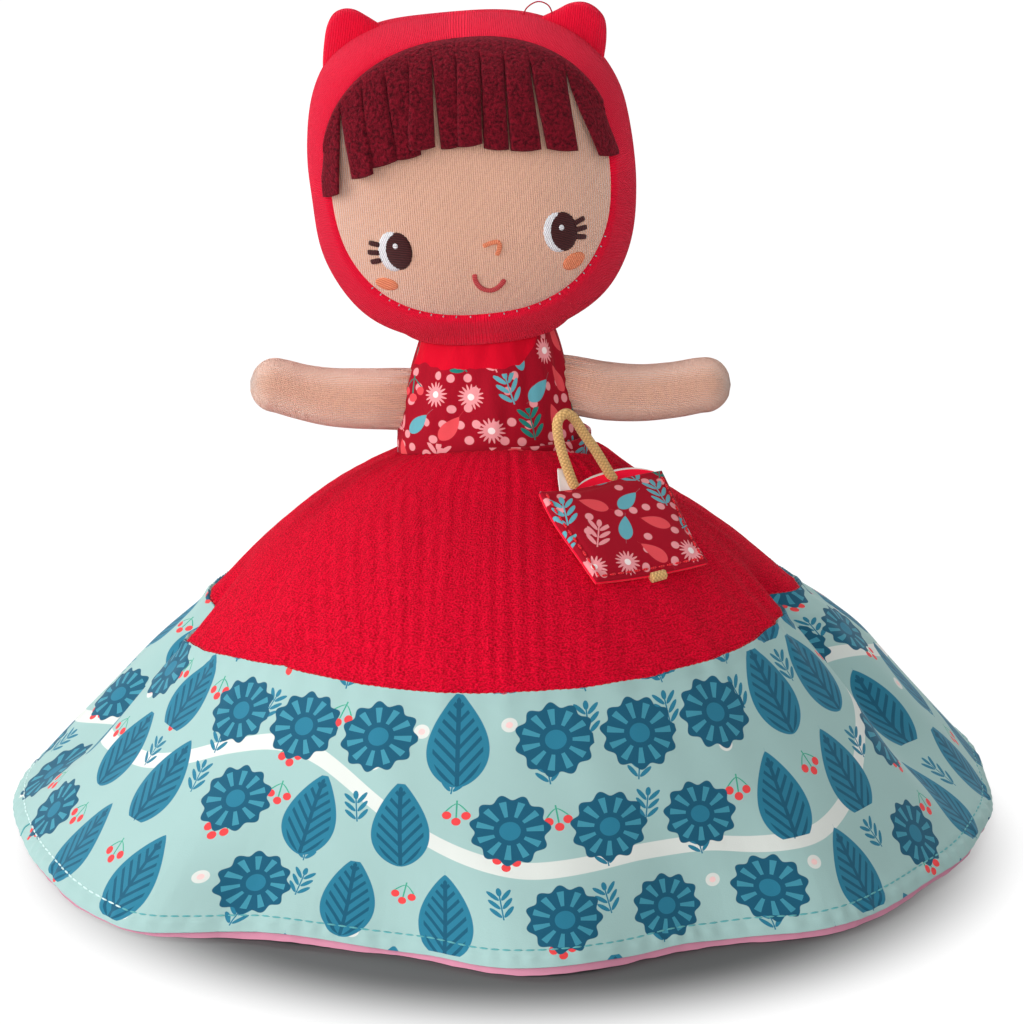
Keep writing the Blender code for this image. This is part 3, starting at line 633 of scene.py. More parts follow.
def use_group(tree, group, **values):
    added = tree.nodes.new("ShaderNodeGroup")
    added.node_tree = group
    for name, value in values.items():
        feed(tree, value, added.inputs[name])
    return {output.name: Signal(tree, output) for output in added.outputs}


def raise_surface(tree, shader, height, distance, strength=1.0):
    bump = wire(tree, "Bump")
    feed(tree, strength, bump.inputs["Strength"])
    feed(tree, distance, bump.inputs["Distance"])
    feed(tree, height, bump.inputs["Height"])
    feed(tree, bump.outputs[0], shader.inputs["Normal"])


muslin, muslin_tree, muslin_shader = new_finish("muslin", 0.95, 0.08, MUSLIN_SHEEN)
crinkled = use_group(muslin_tree, crinkle_group(), Place=on_cloth(muslin_tree))
# The low parts of the crinkle are coloured darker: painted shade in its hollows, over the grain's
# random tone.
red = mix_colours(muslin_tree, crinkled["Shade"], MUSLIN_PAINTED_SHADE, MUSLIN_RED)
feed(muslin_tree, red, muslin_shader.inputs["Base Color"])
raise_surface(muslin_tree, muslin_shader, crinkled["Height"], MUSLIN_RELIEF)


def yoke_start(azimuth):
    return -YOKE_TURN_SHARE + 0 * azimuth


for gore in range(GORE_COUNT):
    number = f"{gore + 1:02d}"
    parts, _ = gore_cloth(
        gore, (yoke_start, seam_place), (YOKE_COLUMNS, YOKE_ROWS), YOKE_CLOTH, SEAM_RADIUS
    )
    yoke = cloth_piece(f"skirt_yoke_{number}", parts)
    yoke.data.materials.append(muslin)
    direction = gore_direction(gore)
    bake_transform(yoke)
    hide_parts(f"yoke_gore_{number}")


# Skirt border. Printed aqua poplin sewn to the yoke, in a few broad folds, with a pink lining that
# shows at the hem. The print is a repeat of veined leaves, rosettes, sprigs, berries and dots over
# a pale winding band.
BORDER_CLOTH = 0.0009
BORDER_COLUMNS = 72
BORDER_ROWS = 60
BORDER_END_SHARE = 0.985
BORDER_SLANT = 0.081
SEAM_LEDGE = 0.0009
LINING_TOP_SHARE = 0.93
LINING_GAP = 0.0002
LINING_CLOTH = 0.0005
LINING_DROP = 0.0021
LINING_ROWS = 8
LINING_WAVE = 0.00025
MOTIFS_IN_TURN = 28
MOTIF_ROW = 0.027
ROW_DROP = 0.5
PRINT_EDGE = 0.00015
LEAF_SIZE = {"Length": 0.028, "Width": 0.0165, "Veins": 7}
ROSETTE_SIZE = {"Radius": 0.0108, "Petals": 11, "Notch": 0.07}
SPRIG_LENGTH = 0.0095
BERRY_SIZE = 0.0075
HALO_RADIUS = 0.0021
DOT_RADIUS = 0.0009
BAND_HALF_WIDTH = 0.0026
BAND_MIDDLE = 0.038
BAND_WAVES = (
    # waves in a turn, phase, height
    (3, 0.4, 0.016),
    (7, 2.2, 0.006),
)
WEAVE_RELIEF = 0.0001
AQUA = (0.345, 0.52, 0.50, 1)
BAND_PALE = (0.70, 0.73, 0.69, 1)
TEAL = (0.022, 0.185, 0.285, 1)
DEEP_TEAL = (0.010, 0.095, 0.165, 1)
LIGHT_TEAL = (0.050, 0.270, 0.365, 1)
CORAL = (0.80, 0.060, 0.065, 1)
STEM_GREEN = (0.05, 0.36, 0.24, 1)
BLUSH = (0.88, 0.58, 0.56, 1)
HALO_PALE = (0.70, 0.72, 0.68, 1)
LINING_PINK = (0.66, 0.27, 0.38, 1)


def inside(distance):
    """1 where a distance from an edge is negative, with a print's slightly soft edge."""
    share = distance * (-1 / PRINT_EDGE) + 0.5
    return Signal(share.tree, wire(share.tree, "Clamp", share).outputs[0])


def between(value, low, high):
    return (value > low) * (value < high)


def square_sum(first, second):
    return first * first + second * second


def scatter_group():
    """Cells of a repeat. Local runs from each cell's own middle, shifted and turned at random."""
    group, given, give = new_group(
        "scatter", ("Place", "Wrap", "Seed", "Width", "Height", "Jitter", "Turn"),
        ("Local", "Chance"),
    )
    place, wrap, seed, width, height, jitter, most_turn = given
    across, down, _ = split(group, place)
    row = calc(group, "FLOOR", down)
    across = calc(group, "FLOORED_MODULO", row, 2) * ROW_DROP + across
    column = calc(group, "FLOOR", across)
    wrapped = calc(group, "FLOORED_MODULO", column, wrap)
    drawn = wire(group, "TexWhiteNoise", joined(group, wrapped, row, seed)).outputs
    shift_x, shift_y, turn = split(group, drawn["Color"])
    x = (across - column - 0.5 - (shift_x - 0.5) * jitter) * width
    y = (down - row - 0.5 - (shift_y - 0.5) * jitter) * height
    turned = wire(group, "VectorRotate", joined(group, x, y * -1), rotation_type="Z_AXIS")
    feed(group, (turn - 0.5) * most_turn, turned.inputs["Angle"])
    return give(turned.outputs[0], drawn["Value"])


def leaf_group():
    """A pointed oval leaf with a midrib and chevron veins."""
    group, (place, length, width, veins), give = new_group(
        "leaf", ("Local", "Length", "Width", "Veins"), ("Mask", "Vein")
    )
    across, up, _ = split(group, place)
    side = calc(group, "ABSOLUTE", across)
    share = up / length + 0.5
    share = Signal(group, wire(group, "Clamp", share).outputs[0])
    half = calc(group, "SINE", share**0.72 * math.pi) ** 0.8 * width
    edge = side - half * 0.5
    chevron = calc(group, "FRACT", (share - side * 1.2 / length) * veins) > 0.62
    drawn = calc(group, "MAXIMUM", chevron, side < width * 0.035)
    return give(inside(edge), drawn * inside(width * 0.1 + edge))


def rosette_group():
    """A round flower of petals, each with a lighter middle, round a plain eye."""
    group, (place, radius, petals, notch), give = new_group(
        "rosette", ("Local", "Radius", "Petals", "Notch"), ("Mask", "Petal", "Eye")
    )
    across, up, _ = split(group, place)
    wave = calc(group, "COSINE", calc(group, "ARCTAN2", up, across) * petals)
    share = length_of(group, place) / radius
    gap = (share - ((wave - 1) * notch + 1)) * radius
    return give(inside(gap), between(share, 0.40, 0.82) * (wave > 0.35), share < 0.26)


def sprig_group():
    """A stem with three pairs of small leaves and one at its tip."""
    group, (place, length), give = new_group("sprig", ("Local", "Length"), ("Mask",))
    across, up, _ = split(group, place)
    side = calc(group, "ABSOLUTE", across) / length
    share = up / length
    level = share - side * 0.9
    pair = calc(group, "FRACT", level * 3.6) - 0.5
    leaves = (square_sum((side - 0.19) / 0.16, pair / 0.34) < 1) * between(level, -0.55, 0.28)
    stem = (side < 0.022) * between(share, -0.5, 0.45)
    tip = square_sum((share - 0.42) / 0.14, side / 0.08) < 1
    return give(calc(group, "MAXIMUM", calc(group, "MAXIMUM", leaves, stem), tip))


def berry_group():
    """Three round berries that hang from arched stems."""
    group, (place, size), give = new_group("berries", ("Local", "Size"), ("Berry", "Stem"))
    across, up, _ = split(group, place)
    side = calc(group, "ABSOLUTE", across) / size
    share = up / size
    outer = square_sum(side - 0.34, share + 0.08) < 0.028
    lowest = square_sum(side, share + 0.34) < 0.028
    arch = calc(group, "ABSOLUTE", side - ((0.42 - share) * 0.75) ** 0.7)
    stem = (arch < 0.035) * between(share, -0.05, 0.42)
    middle = (side < 0.03) * between(share, -0.3, 0.55)
    return give(calc(group, "MAXIMUM", outer, lowest), calc(group, "MAXIMUM", stem, middle))


def print_over(tree, ground, chosen, *layers):
    """Prints layers of a mask and a colour over the ground, in the cells that are chosen."""
    for mask, colour in layers:
        ground = mix_colours(tree, chosen * mask, ground, colour)
    return ground


def add_weave(tree, shader, threads, strength):
    """A plain weave's fine relief, with so many threads in a metre."""
    place = wire(tree, "TexCoord").outputs["Object"]
    raise_surface(tree, shader, noise(tree, place, threads, 2, 0.5), WEAVE_RELIEF, strength)


def border_end(azimuth):
    return 1 + BORDER_END_SHARE + 0 * azimuth


def add_lining_edge(parts, azimuths):
    """The lining's folded edge, which hangs a little below the hem where the hem is lifted."""
    azimuth, share = np.meshgrid(azimuths, np.linspace(0, 1, LINING_ROWS + 1))
    hanging = np.clip(2 * share - 1, 0, 1)
    along = 1 + LINING_TOP_SHARE + (BORDER_END_SHARE - LINING_TOP_SHARE) * np.clip(2 * share, 0, 1)
    normals = surface_normals(azimuth, along)
    top = BORDER_CLOTH + LINING_GAP + LINING_WAVE * (1 + ripple(azimuth, share, 60, 0, 27)) * hanging
    sheets = []
    for depth in (top, top + LINING_CLOTH):
        points = skirt_surface(azimuth, along) - normals * depth[..., None]
        points[..., 2] = np.maximum(points[..., 2] - LINING_DROP * hanging, HEM_CLEARANCE / 2)
        sheets.append(points)
    places = np.stack((azimuth / (2 * math.pi), along), -1)
    add_shell(parts, sheets[0], sheets[1], normals, places, 1, 1)


scatter = scatter_group()
leaf = leaf_group()
rosette = rosette_group()
sprig = sprig_group()
berry = berry_group()

aqua_print, aqua_tree, aqua_shader = new_finish("aqua_poplin", 0.8, 0.12, (0.9, 1, 1, 1))
turn_share, along_skirt, _ = split(aqua_tree, on_cloth(aqua_tree))
below = (along_skirt - 1) * BORDER_SLANT
reach = (along_skirt - 1) * (HEM_RADIUS - SEAM_RADIUS) + SEAM_RADIUS
repeat = {
    "Wrap": MOTIFS_IN_TURN, "Width": reach * (2 * math.pi / MOTIFS_IN_TURN), "Height": MOTIF_ROW,
}
columns_across = turn_share * MOTIFS_IN_TURN
rows_down = below * (1 / MOTIF_ROW)

band_line = BAND_MIDDLE
for waves_in_turn, phase, height in BAND_WAVES:
    band_wave = calc(aqua_tree, "SINE", turn_share * (2 * math.pi * waves_in_turn) + phase)
    band_line = band_wave * height + band_line
band_edge = calc(aqua_tree, "ABSOLUTE", below - band_line) - BAND_HALF_WIDTH
aqua_colour = mix_colours(aqua_tree, inside(band_edge), AQUA, BAND_PALE)

for seed, row_shift in ((5, 0.25), (9, 0.75)):
    gap_place = joined(aqua_tree, columns_across + 0.5, rows_down + row_shift)
    gaps = use_group(
        aqua_tree, scatter, Place=gap_place, Seed=seed, Jitter=0.12, Turn=0.5, **repeat
    )
    local = gaps["Local"]
    chance = gaps["Chance"]
    twig = use_group(aqua_tree, sprig, Local=local, Length=SPRIG_LENGTH)
    fruit = use_group(aqua_tree, berry, Local=local, Size=BERRY_SIZE)
    away = length_of(aqua_tree, local)
    aqua_colour = print_over(
        aqua_tree, aqua_colour, between(chance, -1, 0.4), (twig["Mask"], TEAL)
    )
    aqua_colour = print_over(
        aqua_tree, aqua_colour, between(chance, 0.4, 0.72),
        (fruit["Stem"], STEM_GREEN), (fruit["Berry"], CORAL),
    )
    aqua_colour = print_over(
        aqua_tree, aqua_colour, between(chance, 0.72, 2),
        (inside(away - HALO_RADIUS), HALO_PALE), (inside(away - DOT_RADIUS), BLUSH),
    )

big_place = joined(aqua_tree, columns_across, rows_down + 0.1)
big = use_group(aqua_tree, scatter, Place=big_place, Seed=2, Jitter=0.14, Turn=0.25, **repeat)
leaves = use_group(aqua_tree, leaf, Local=big["Local"], **LEAF_SIZE)
flowers = use_group(aqua_tree, rosette, Local=big["Local"], **ROSETTE_SIZE)
aqua_colour = print_over(
    aqua_tree, aqua_colour, between(big["Chance"], -1, 0.62),
    (leaves["Mask"], TEAL), (leaves["Vein"], DEEP_TEAL),
)
aqua_colour = print_over(
    aqua_tree, aqua_colour, between(big["Chance"], 0.62, 2),
    (flowers["Mask"], DEEP_TEAL), (flowers["Petal"], LIGHT_TEAL), (flowers["Eye"], TEAL),
)
feed(aqua_tree, aqua_colour, aqua_shader.inputs["Base Color"])
add_weave(aqua_tree, aqua_shader, 2600, 0.35)
lining = new_finish("pink_lining", 0.8, 0.1, (1, 0.9, 0.95, 1), LINING_PINK)[0]

for gore in range(GORE_COUNT):
    number = f"{gore + 1:02d}"
    parts, azimuths = gore_cloth(
        gore, (seam_place, border_end), (BORDER_COLUMNS, BORDER_ROWS), BORDER_CLOTH, HEM_RADIUS, 1,
        SEAM_LEDGE,
    )
    add_lining_edge(parts, azimuths)
    border = cloth_piece(f"skirt_border_{number}", parts)
    border.data.materials.append(aqua_print)
    border.data.materials.append(lining)
    direction = gore_direction(gore)
    top_edge = direction * seam_radius(gore * GORE_SPAN)
    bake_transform(border)
    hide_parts(f"border_gore_{number}")


# Bodices. Two tapered sleeves of printed dark red cotton, sewn to the waist one up and one down,
# stuffed, and drawn in at the neck. A collar of plain red jersey shows under the upper head's chin,
# painted on the print in a darker red: painted shade under the chin.
BODICE_HEIGHT = 0.034
HIDDEN_BODICE_HEIGHT = 0.0283
BODICE_WAIST_WIDTH = 0.051
BODICE_NECK_WIDTH = 0.039
BODICE_DEPTH_SHARE = 0.8
BODICE_NECK_SHIFT = -0.0055
BODICE_CLOTH = 0.0009
BODICE_FULLNESS = 0.0006
BODICE_LEFT_FLARE = 0.0036
BODICE_FLARE_POWER = 1.7
BODICE_COLUMNS = 144
BODICE_ROWS = 44
BODICE_TUCK = 0.0035
BODICE_DIMPLES = 0.0005
NECK_BEND_LENGTH = 0.009
COLLAR_DROP = 0.0075
COLLAR_WAVE = 0.0016
COLLAR_LEFT = 0.030
COLLAR_RIGHT = 0.0115
COLLAR_SLANT_SHARE = 1.2
HEAD_ROLL_DEGREES = 4.7
WELD_DISTANCE = 0.000002
RED_PRINT_CELL = 0.0105
DOT_PRINT_CELL = 0.0047
PRINT_DOT_RADIUS = 0.00125
PRINT_LEAF = {"Length": 0.0088, "Width": 0.0042, "Veins": 1.0}
PRINT_DAISY = {"Radius": 0.0038, "Petals": 16, "Notch": 0.22}
PRINT_SPRIG_LENGTH = 0.0098
PRINT_BERRY_SIZE = 0.0078
PRINT_GROUND = (0.34, 0.003, 0.016, 1)
JERSEY_RED = (1.0, 0.002, 0.038, 1)
# the collar's red: the jersey's red coloured darker, a painted shade under the chin
COLLAR_RED_IN_PAINTED_SHADE = (0.62, 0.0006, 0.018, 1)
PRINT_PINK = (0.80, 0.31, 0.33, 1)
PRINT_PALE = (0.9, 0.8, 0.78, 1)
PRINT_CORAL = (0.76, 0.075, 0.09, 1)
PRINT_BLUE = (0.12, 0.40, 0.47, 1)
PRINT_GREEN = (0.012, 0.20, 0.165, 1)


def weld(obj):
    mesh = bmesh.new()
    mesh.from_mesh(obj.data)
    bmesh.ops.remove_doubles(mesh, verts=mesh.verts, dist=WELD_DISTANCE)
    bmesh.ops.dissolve_degenerate(mesh, edges=mesh.edges, dist=WELD_DISTANCE)
    bmesh.ops.recalc_face_normals(mesh, faces=mesh.faces)
    mesh.to_mesh(obj.data)
    mesh.free()
    obj.data.shade_smooth()


def skin_object(name, grids, material):
    """A closed skin made of grids of points. Each grid is (outer, inner, places on the cloth).
    Inner is left out where the grid closes on itself. Edges that meet are welded."""
    points = []
    places = []
    faces = []
    for outer, inner, uvs in grids:
        corners, quads = grid_faces(outer.shape, sum(len(block) for block in points))
        count = corners.size
        points.append(outer.reshape(-1, 3))
        places.append(uvs.reshape(-1, 2))
        faces.extend(quads.tolist())
        if inner is None:
            continue
        points.append(inner.reshape(-1, 3))
        places.append(uvs.reshape(-1, 2))
        faces.extend((quads[:, ::-1] + count).tolist())
        edges = [corners[0], corners[-1, ::-1]]
        if not np.allclose(outer[:, 0], outer[:, -1]):
            edges += [corners[::-1, 0], corners[:, -1]]
        for edge in edges:
            walls = np.stack((edge[:-1], edge[1:], edge[1:] + count, edge[:-1] + count), -1)
            faces.extend(walls.tolist())
    mesh = bpy.data.meshes.new(name)
    mesh.from_pydata(np.concatenate(points).tolist(), [], faces)
    lay_cloth(mesh, np.concatenate(places))
    obj = bpy.data.objects.new(name, mesh)
    bpy.context.scene.collection.objects.link(obj)
    weld(obj)
    obj.data.materials.append(material)
    return obj


def add_red_print(tree, across, up):
    """The dark red print: leaves, daisies, sprigs, berries and dots on metres across and up."""

    def cells_of(seed, cell, shift):
        place = joined(tree, across * (1 / cell) + shift, up * (-1 / cell) + (0.35 + shift))
        cells = use_group(
            tree, scatter, Place=place, Wrap=997.0, Seed=seed, Width=cell, Height=cell,
            Jitter=0.25, Turn=2.2,
        )
        return cells["Local"], cells["Chance"]

    local, chance = cells_of(3, DOT_PRINT_CELL, 0.3)
    dot = inside(length_of(tree, local) - PRINT_DOT_RADIUS)
    colour = print_over(tree, PRINT_GROUND, dot, (between(chance, -1, 0.42), PRINT_PINK))
    local, chance = cells_of(7, RED_PRINT_CELL, 0.0)
    petal = use_group(tree, leaf, Local=local, **PRINT_LEAF)["Mask"]
    daisy = use_group(tree, rosette, Local=local, **PRINT_DAISY)
    twig = use_group(tree, sprig, Local=local, Length=PRINT_SPRIG_LENGTH)["Mask"]
    fruit = use_group(tree, berry, Local=local, Size=PRINT_BERRY_SIZE)
    for low, high, *layers in (
        (-1, 0.2, (petal, PRINT_CORAL)),
        (0.2, 0.36, (petal, PRINT_BLUE)),
        (0.36, 0.5, (daisy["Mask"], PRINT_PINK), (daisy["Eye"], PRINT_PALE)),
        (0.5, 0.64, (twig, PRINT_BLUE)),
        (0.64, 0.76, (twig, PRINT_GREEN)),
        (0.76, 0.88, (twig, PRINT_PINK)),
        (0.88, 2, (fruit["Stem"], PRINT_GREEN), (fruit["Berry"], PRINT_CORAL)),
    ):
        colour = print_over(tree, colour, between(chance, low, high), *layers)
    return colour


def add_collar(tree, printed, across, up):
    """The jersey collar over the print: a wavy lower edge, and a slanting end at the right. Its red
    is the jersey's, painted darker for the shade under the chin.
    """
    wave = noise(tree, joined(tree, across), 110, 2, 0.5)
    below = wave * (COLLAR_WAVE * 4) + (BODICE_HEIGHT - COLLAR_DROP - COLLAR_WAVE * 2) - up
    right_end = up * COLLAR_SLANT_SHARE + (
        COLLAR_RIGHT - COLLAR_SLANT_SHARE * (BODICE_HEIGHT - COLLAR_DROP)
    )
    past_collar = calc(tree, "MAXIMUM", below, across - right_end)
    past_collar = calc(tree, "MAXIMUM", past_collar, across * -1 - COLLAR_LEFT)
    return mix_colours(tree, inside(past_collar), printed, COLLAR_RED_IN_PAINTED_SHADE)


def bodice_points(azimuth, share, place, depth):
    """Points of a bodice's outside, or of a layer under it, from the waist at 0 to the neck at 1."""
    width = BODICE_WAIST_WIDTH + (BODICE_NECK_WIDTH - BODICE_WAIST_WIDTH) * np.clip(share, 0, 1)
    fullness = BODICE_FULLNESS * np.sin(math.pi * np.clip(share, 0, 1))
    dimples = ripple(azimuth, share, 7, 5, 31) + 0.5 * ripple(azimuth, share, 20, 9, 32)
    radius = width / 2 - depth + fullness + BODICE_DIMPLES * dimples * rise_between(share, 0.05, 0.3)
    across = radius * np.sin(azimuth)
    deep = -radius * BODICE_DEPTH_SHARE * np.cos(azimuth)
    if place == "hidden":
        height = WAIST_HEIGHT - HIDDEN_BODICE_HEIGHT * share
        return np.stack((across, deep, height), -1)
    tip = math.tan(math.radians(HEAD_ROLL_DEGREES))
    height = BODICE_HEIGHT * share + across * tip * np.clip(share, 0, 1)
    flare = BODICE_LEFT_FLARE * (1 - np.clip(share, 0, 1) ** BODICE_FLARE_POWER)
    across = across - flare * np.clip(-np.sin(azimuth), 0, 1) ** 2
    shift = BODICE_WAIST_SHIFT + (BODICE_NECK_SHIFT - BODICE_WAIST_SHIFT) * share
    return np.stack((across + shift, deep, WAIST_HEIGHT + height), -1)


red_prints = {}
for place, print_name in (("hidden", "red_print"), ("upper", "red_print_collar")):
    red_print, red_tree, red_shader = new_finish(print_name, 0.82, 0.1, (1, 0.3, 0.3, 1))
    print_across, print_up, _ = split(red_tree, on_cloth(red_tree))
    printed = add_red_print(red_tree, print_across, print_up)
    if place == "upper":
        printed = add_collar(red_tree, printed, print_across, print_up)
    feed(red_tree, printed, red_shader.inputs["Base Color"])
    add_weave(red_tree, red_shader, 2400, 0.4)
    red_prints[place] = red_print

for place, height in (("upper", BODICE_HEIGHT), ("hidden", HIDDEN_BODICE_HEIGHT)):
    shares = np.linspace(1.0, -BODICE_TUCK / height, BODICE_ROWS)
    if place == "hidden":
        shares = np.linspace(-BODICE_TUCK / height, 1.0, BODICE_ROWS)
    azimuth, share = np.meshgrid(np.linspace(-math.pi, math.pi, BODICE_COLUMNS + 1), shares)
    mean_radius = (BODICE_WAIST_WIDTH + BODICE_NECK_WIDTH) / 4
    cloth_places = np.stack((azimuth * mean_radius, share * height), -1)
    outer = bodice_points(azimuth, share, place, 0)
    inner = bodice_points(azimuth, share, place, BODICE_CLOTH)
    bodice = skin_object(
        f"bodice_{place}_cloth", [(outer, inner, cloth_places)], red_prints[place]
    )
    side = 1 if place == "upper" else -1
    neck_point = Vector((0, 0, WAIST_HEIGHT + side * height))
    if place == "upper":
        neck_point.x = BODICE_NECK_SHIFT
    bend_start = neck_point - Vector((0, 0, side * NECK_BEND_LENGTH))
    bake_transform(bodice)
    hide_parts(f"bodice_{place}", f"body_filling_{place}")


# Waist tape. A red cotton tape sewn round the hidden bodice's foot, under the skirt's roll, which
# holds the skirt's gathers.
TAPE_HEIGHT = 0.0025
TAPE_DROP = 0.0065
TAPE_OUTER_RADIUS = 0.0301
TAPE_COLUMNS = 96
TAPE_CLEARANCE = 0.0005

azimuth, step = np.meshgrid(np.linspace(0, 2 * math.pi, TAPE_COLUMNS + 1), np.arange(5))
hidden_foot = bodice_points(azimuth, 0.1 + 0 * azimuth, "hidden", 0)
tape_inner = np.hypot(hidden_foot[..., 0], hidden_foot[..., 1]) + TAPE_CLEARANCE
tape_radius = np.where((step == 1) | (step == 2), TAPE_OUTER_RADIUS, tape_inner)
tape_height = WAIST_HEIGHT - TAPE_DROP + np.where((step == 2) | (step == 3), 0, TAPE_HEIGHT)
tape_points = np.stack(
    (tape_radius * np.sin(azimuth), -tape_radius * np.cos(azimuth), tape_height), -1
)
tape = skin_object("waist_tape_cloth", [(tape_points, None, tape_points[..., :2])], muslin)
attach(tape, "trunk")
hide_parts("waist_tape")


# Heads. A stuffed ball of red jersey hood and beige knit face, sewn together round the face, with
# a fringe of slit fleece caught in that seam. The hidden head is the same, smaller and upside down.
HEAD_HALF_SIZE = (0.0471, 0.0366, 0.0472)
HEAD_SQUARENESS = 2.5
CROWN_SQUARENESS_RISE = (0.15, 0.55)
HEAD_POWER_ROUNDS = 4
HEAD_MIDDLE_HEIGHT = 0.0458
HIDDEN_SHARE = 0.92
HIDDEN_MIDDLE_HEIGHT = 0.03986
FLOOR_CLEARANCE = 0.0004
OPENING_MIDDLE = (-0.0003, 0.0036)
OPENING_HALF_SIZE = (0.0403, 0.0390)
OPENING_SQUARENESS = 2.35
HOOD_CLOTH = 0.0009
HOOD_COLUMNS = 180
HOOD_ROWS = 90
HOOD_CLOTH_REACH = (0.045, 0.09)
HOOD_ROLL_DEPTH = 0.0016
HOOD_ROLL_DEGREES = 1.6
HOOD_CREASES = 0.00016
CROWN_SEAM_PLACE_DEGREES = 92
CROWN_SEAM_DEPTH = 0.0006
CROWN_SEAM_DEGREES = 1.4
COLLAR_HALF_WIDTH = 0.0193
COLLAR_HALF_DEPTH = 0.0155
COLLAR_FLARE_SHARE = 1.38
COLLAR_TOP = -0.03
COLLAR_OVERLAP = 0.0006
FACE_CELLS = 96
FACE_TUCK_SHARE = 1.035
FACE_DEPTH = 0.0009
FACE_EDGE_DEPTH = 0.0011
KNIT_RELIEF = 0.00018
KNITS = {
    # roughness, sheen and its tint, width of a rib, colour between the loops (painted shade) and on
    # them
    "red_jersey": (0.88, 0.55, (1, 0.12, 0.20, 1), 0.0005, (0.80, 0.001, 0.024, 1), JERSEY_RED),
    "beige_knit": (
        0.85, 1.0, (1, 0.92, 0.88, 1), 0.00062, (0.64, 0.30, 0.19, 1), (0.92, 0.52, 0.37, 1)
    ),
}


def head_frame(place):
    """Carries a head's own frame, with -Y to the face and Z to the crown, to its place."""
    if place == "upper":
        neck = Vector((BODICE_NECK_SHIFT, 0, WAIST_HEIGHT + BODICE_HEIGHT))
        roll = Matrix.Rotation(-math.radians(HEAD_ROLL_DEGREES), 4, "Y")
        return Matrix.Translation(neck) @ roll @ Matrix.Translation((0, 0, HEAD_MIDDLE_HEIGHT))
    turn_over = Matrix.Rotation(math.pi, 4, "Y")
    return Matrix.Translation((0, 0, HIDDEN_MIDDLE_HEIGHT)) @ turn_over @ Matrix.Scale(HIDDEN_SHARE, 4)


def placed(points, place):
    """Points of a head's own frame in the frame of the scene. The hidden crown is flat below."""
    matrix = np.array(head_frame(place))
    moved = points @ matrix[:3, :3].T + matrix[:3, 3]
    moved[..., 2] = np.maximum(moved[..., 2], FLOOR_CLEARANCE)
    return moved


def head_power(across, up):
    """How square the head is, at shares of its half size. The crown is squarer, most on its left."""
    everywhere, on_left = CROWN_SQUARENESS_RISE
    crown = rise_between(up, -0.2, 0.5)
    return HEAD_SQUARENESS + crown * (everywhere + on_left * rise_between(-across, -0.3, 0.5))


def head_points(direction, depth):
    """The head's outside, or a layer under it, in a direction from its middle."""
    half = np.array(HEAD_HALF_SIZE)
    found = direction
    for _ in range(HEAD_POWER_ROUNDS):
        power = head_power(found[..., :1], found[..., 2:])
        size = (np.abs(direction) ** power).sum(-1, keepdims=True) ** (1 / power)
        found = direction / size
    return found * (half - np.asarray(depth)[..., None])


def face_points(across, up, depth):
    """The point of a layer of the head in front of a place on the face."""
    half = np.array(HEAD_HALF_SIZE)[:, None, None] - depth
    power = head_power(across / half[0], up / half[2])
    used = (np.abs(across) / half[0]) ** power + (np.abs(up) / half[2]) ** power
    deep = -half[1] * np.clip(1 - used, 0, 1) ** (1 / power)
    return np.stack((across + 0 * deep, deep, up + 0 * deep), -1)


def face_sheet(across, up, outer_depth, inner_depth, place, cloth_places=None):
    """Two layers of the head in front of places on the face, as a grid for skin_object."""
    outer = placed(face_points(across, up, outer_depth), place)
    inner = placed(face_points(across, up, inner_depth), place)
    if cloth_places is None:
        cloth_places = np.stack((across, up), -1)
    return outer, inner, cloth_places


def opening_edge(angle):
    """The face's edge, at an angle from the viewer's right, counted towards the crown."""
    power = 2 / OPENING_SQUARENESS
    sides = []
    for wave, middle, half in zip((np.cos(angle), np.sin(angle)), OPENING_MIDDLE, OPENING_HALF_SIZE):
        sides.append(middle + half * np.sign(wave) * np.abs(wave) ** power)
    return sides


def hood_points(angle, share, depth):
    """The hood from the face's edge at 0 to the back of the head at 1, with its seam and collar."""
    edge = unit(face_points(*opening_edge(angle), 0.0) / np.array(HEAD_HALF_SIZE))
    first = np.arccos(np.clip(-edge[..., 1], -1, 1))
    round_face = np.arctan2(edge[..., 2], edge[..., 0])
    polar = first + (math.pi - first) * share
    direction = np.stack(
        (np.sin(polar) * np.cos(round_face), -np.cos(polar), np.sin(polar) * np.sin(round_face)), -1
    )
    rolled = HOOD_ROLL_DEPTH * bell(np.degrees(polar - first) / HOOD_ROLL_DEGREES)
    over_head = rise_between(np.sin(round_face), 0.2, 0.5)
    off_seam = np.degrees(polar) - CROWN_SEAM_PLACE_DEGREES
    seam = CROWN_SEAM_DEPTH * over_head * bell(off_seam / CROWN_SEAM_DEGREES)
    creases = HOOD_CREASES * ripple(round_face, polar, 9, 6, 41)
    points = head_points(direction, depth + rolled + seam + creases)
    reach = np.hypot(points[..., 0] / COLLAR_HALF_WIDTH, points[..., 1] / COLLAR_HALF_DEPTH)
    in_collar = 1 - rise_between(reach, 0.98, COLLAR_FLARE_SHARE)
    low = np.where(points[..., 2] < COLLAR_TOP, in_collar, 0)
    points[..., 2] += (-HEAD_MIDDLE_HEIGHT - COLLAR_OVERLAP + depth - points[..., 2]) * low
    return points


def disc_grid(cells):
    """A square grid drawn out to a round one, as places from -1 to 1."""
    across, up = np.meshgrid(np.linspace(-1, 1, cells + 1), np.linspace(1, -1, cells + 1))
    return across * np.sqrt(1 - up**2 / 2), up * np.sqrt(1 - across**2 / 2)


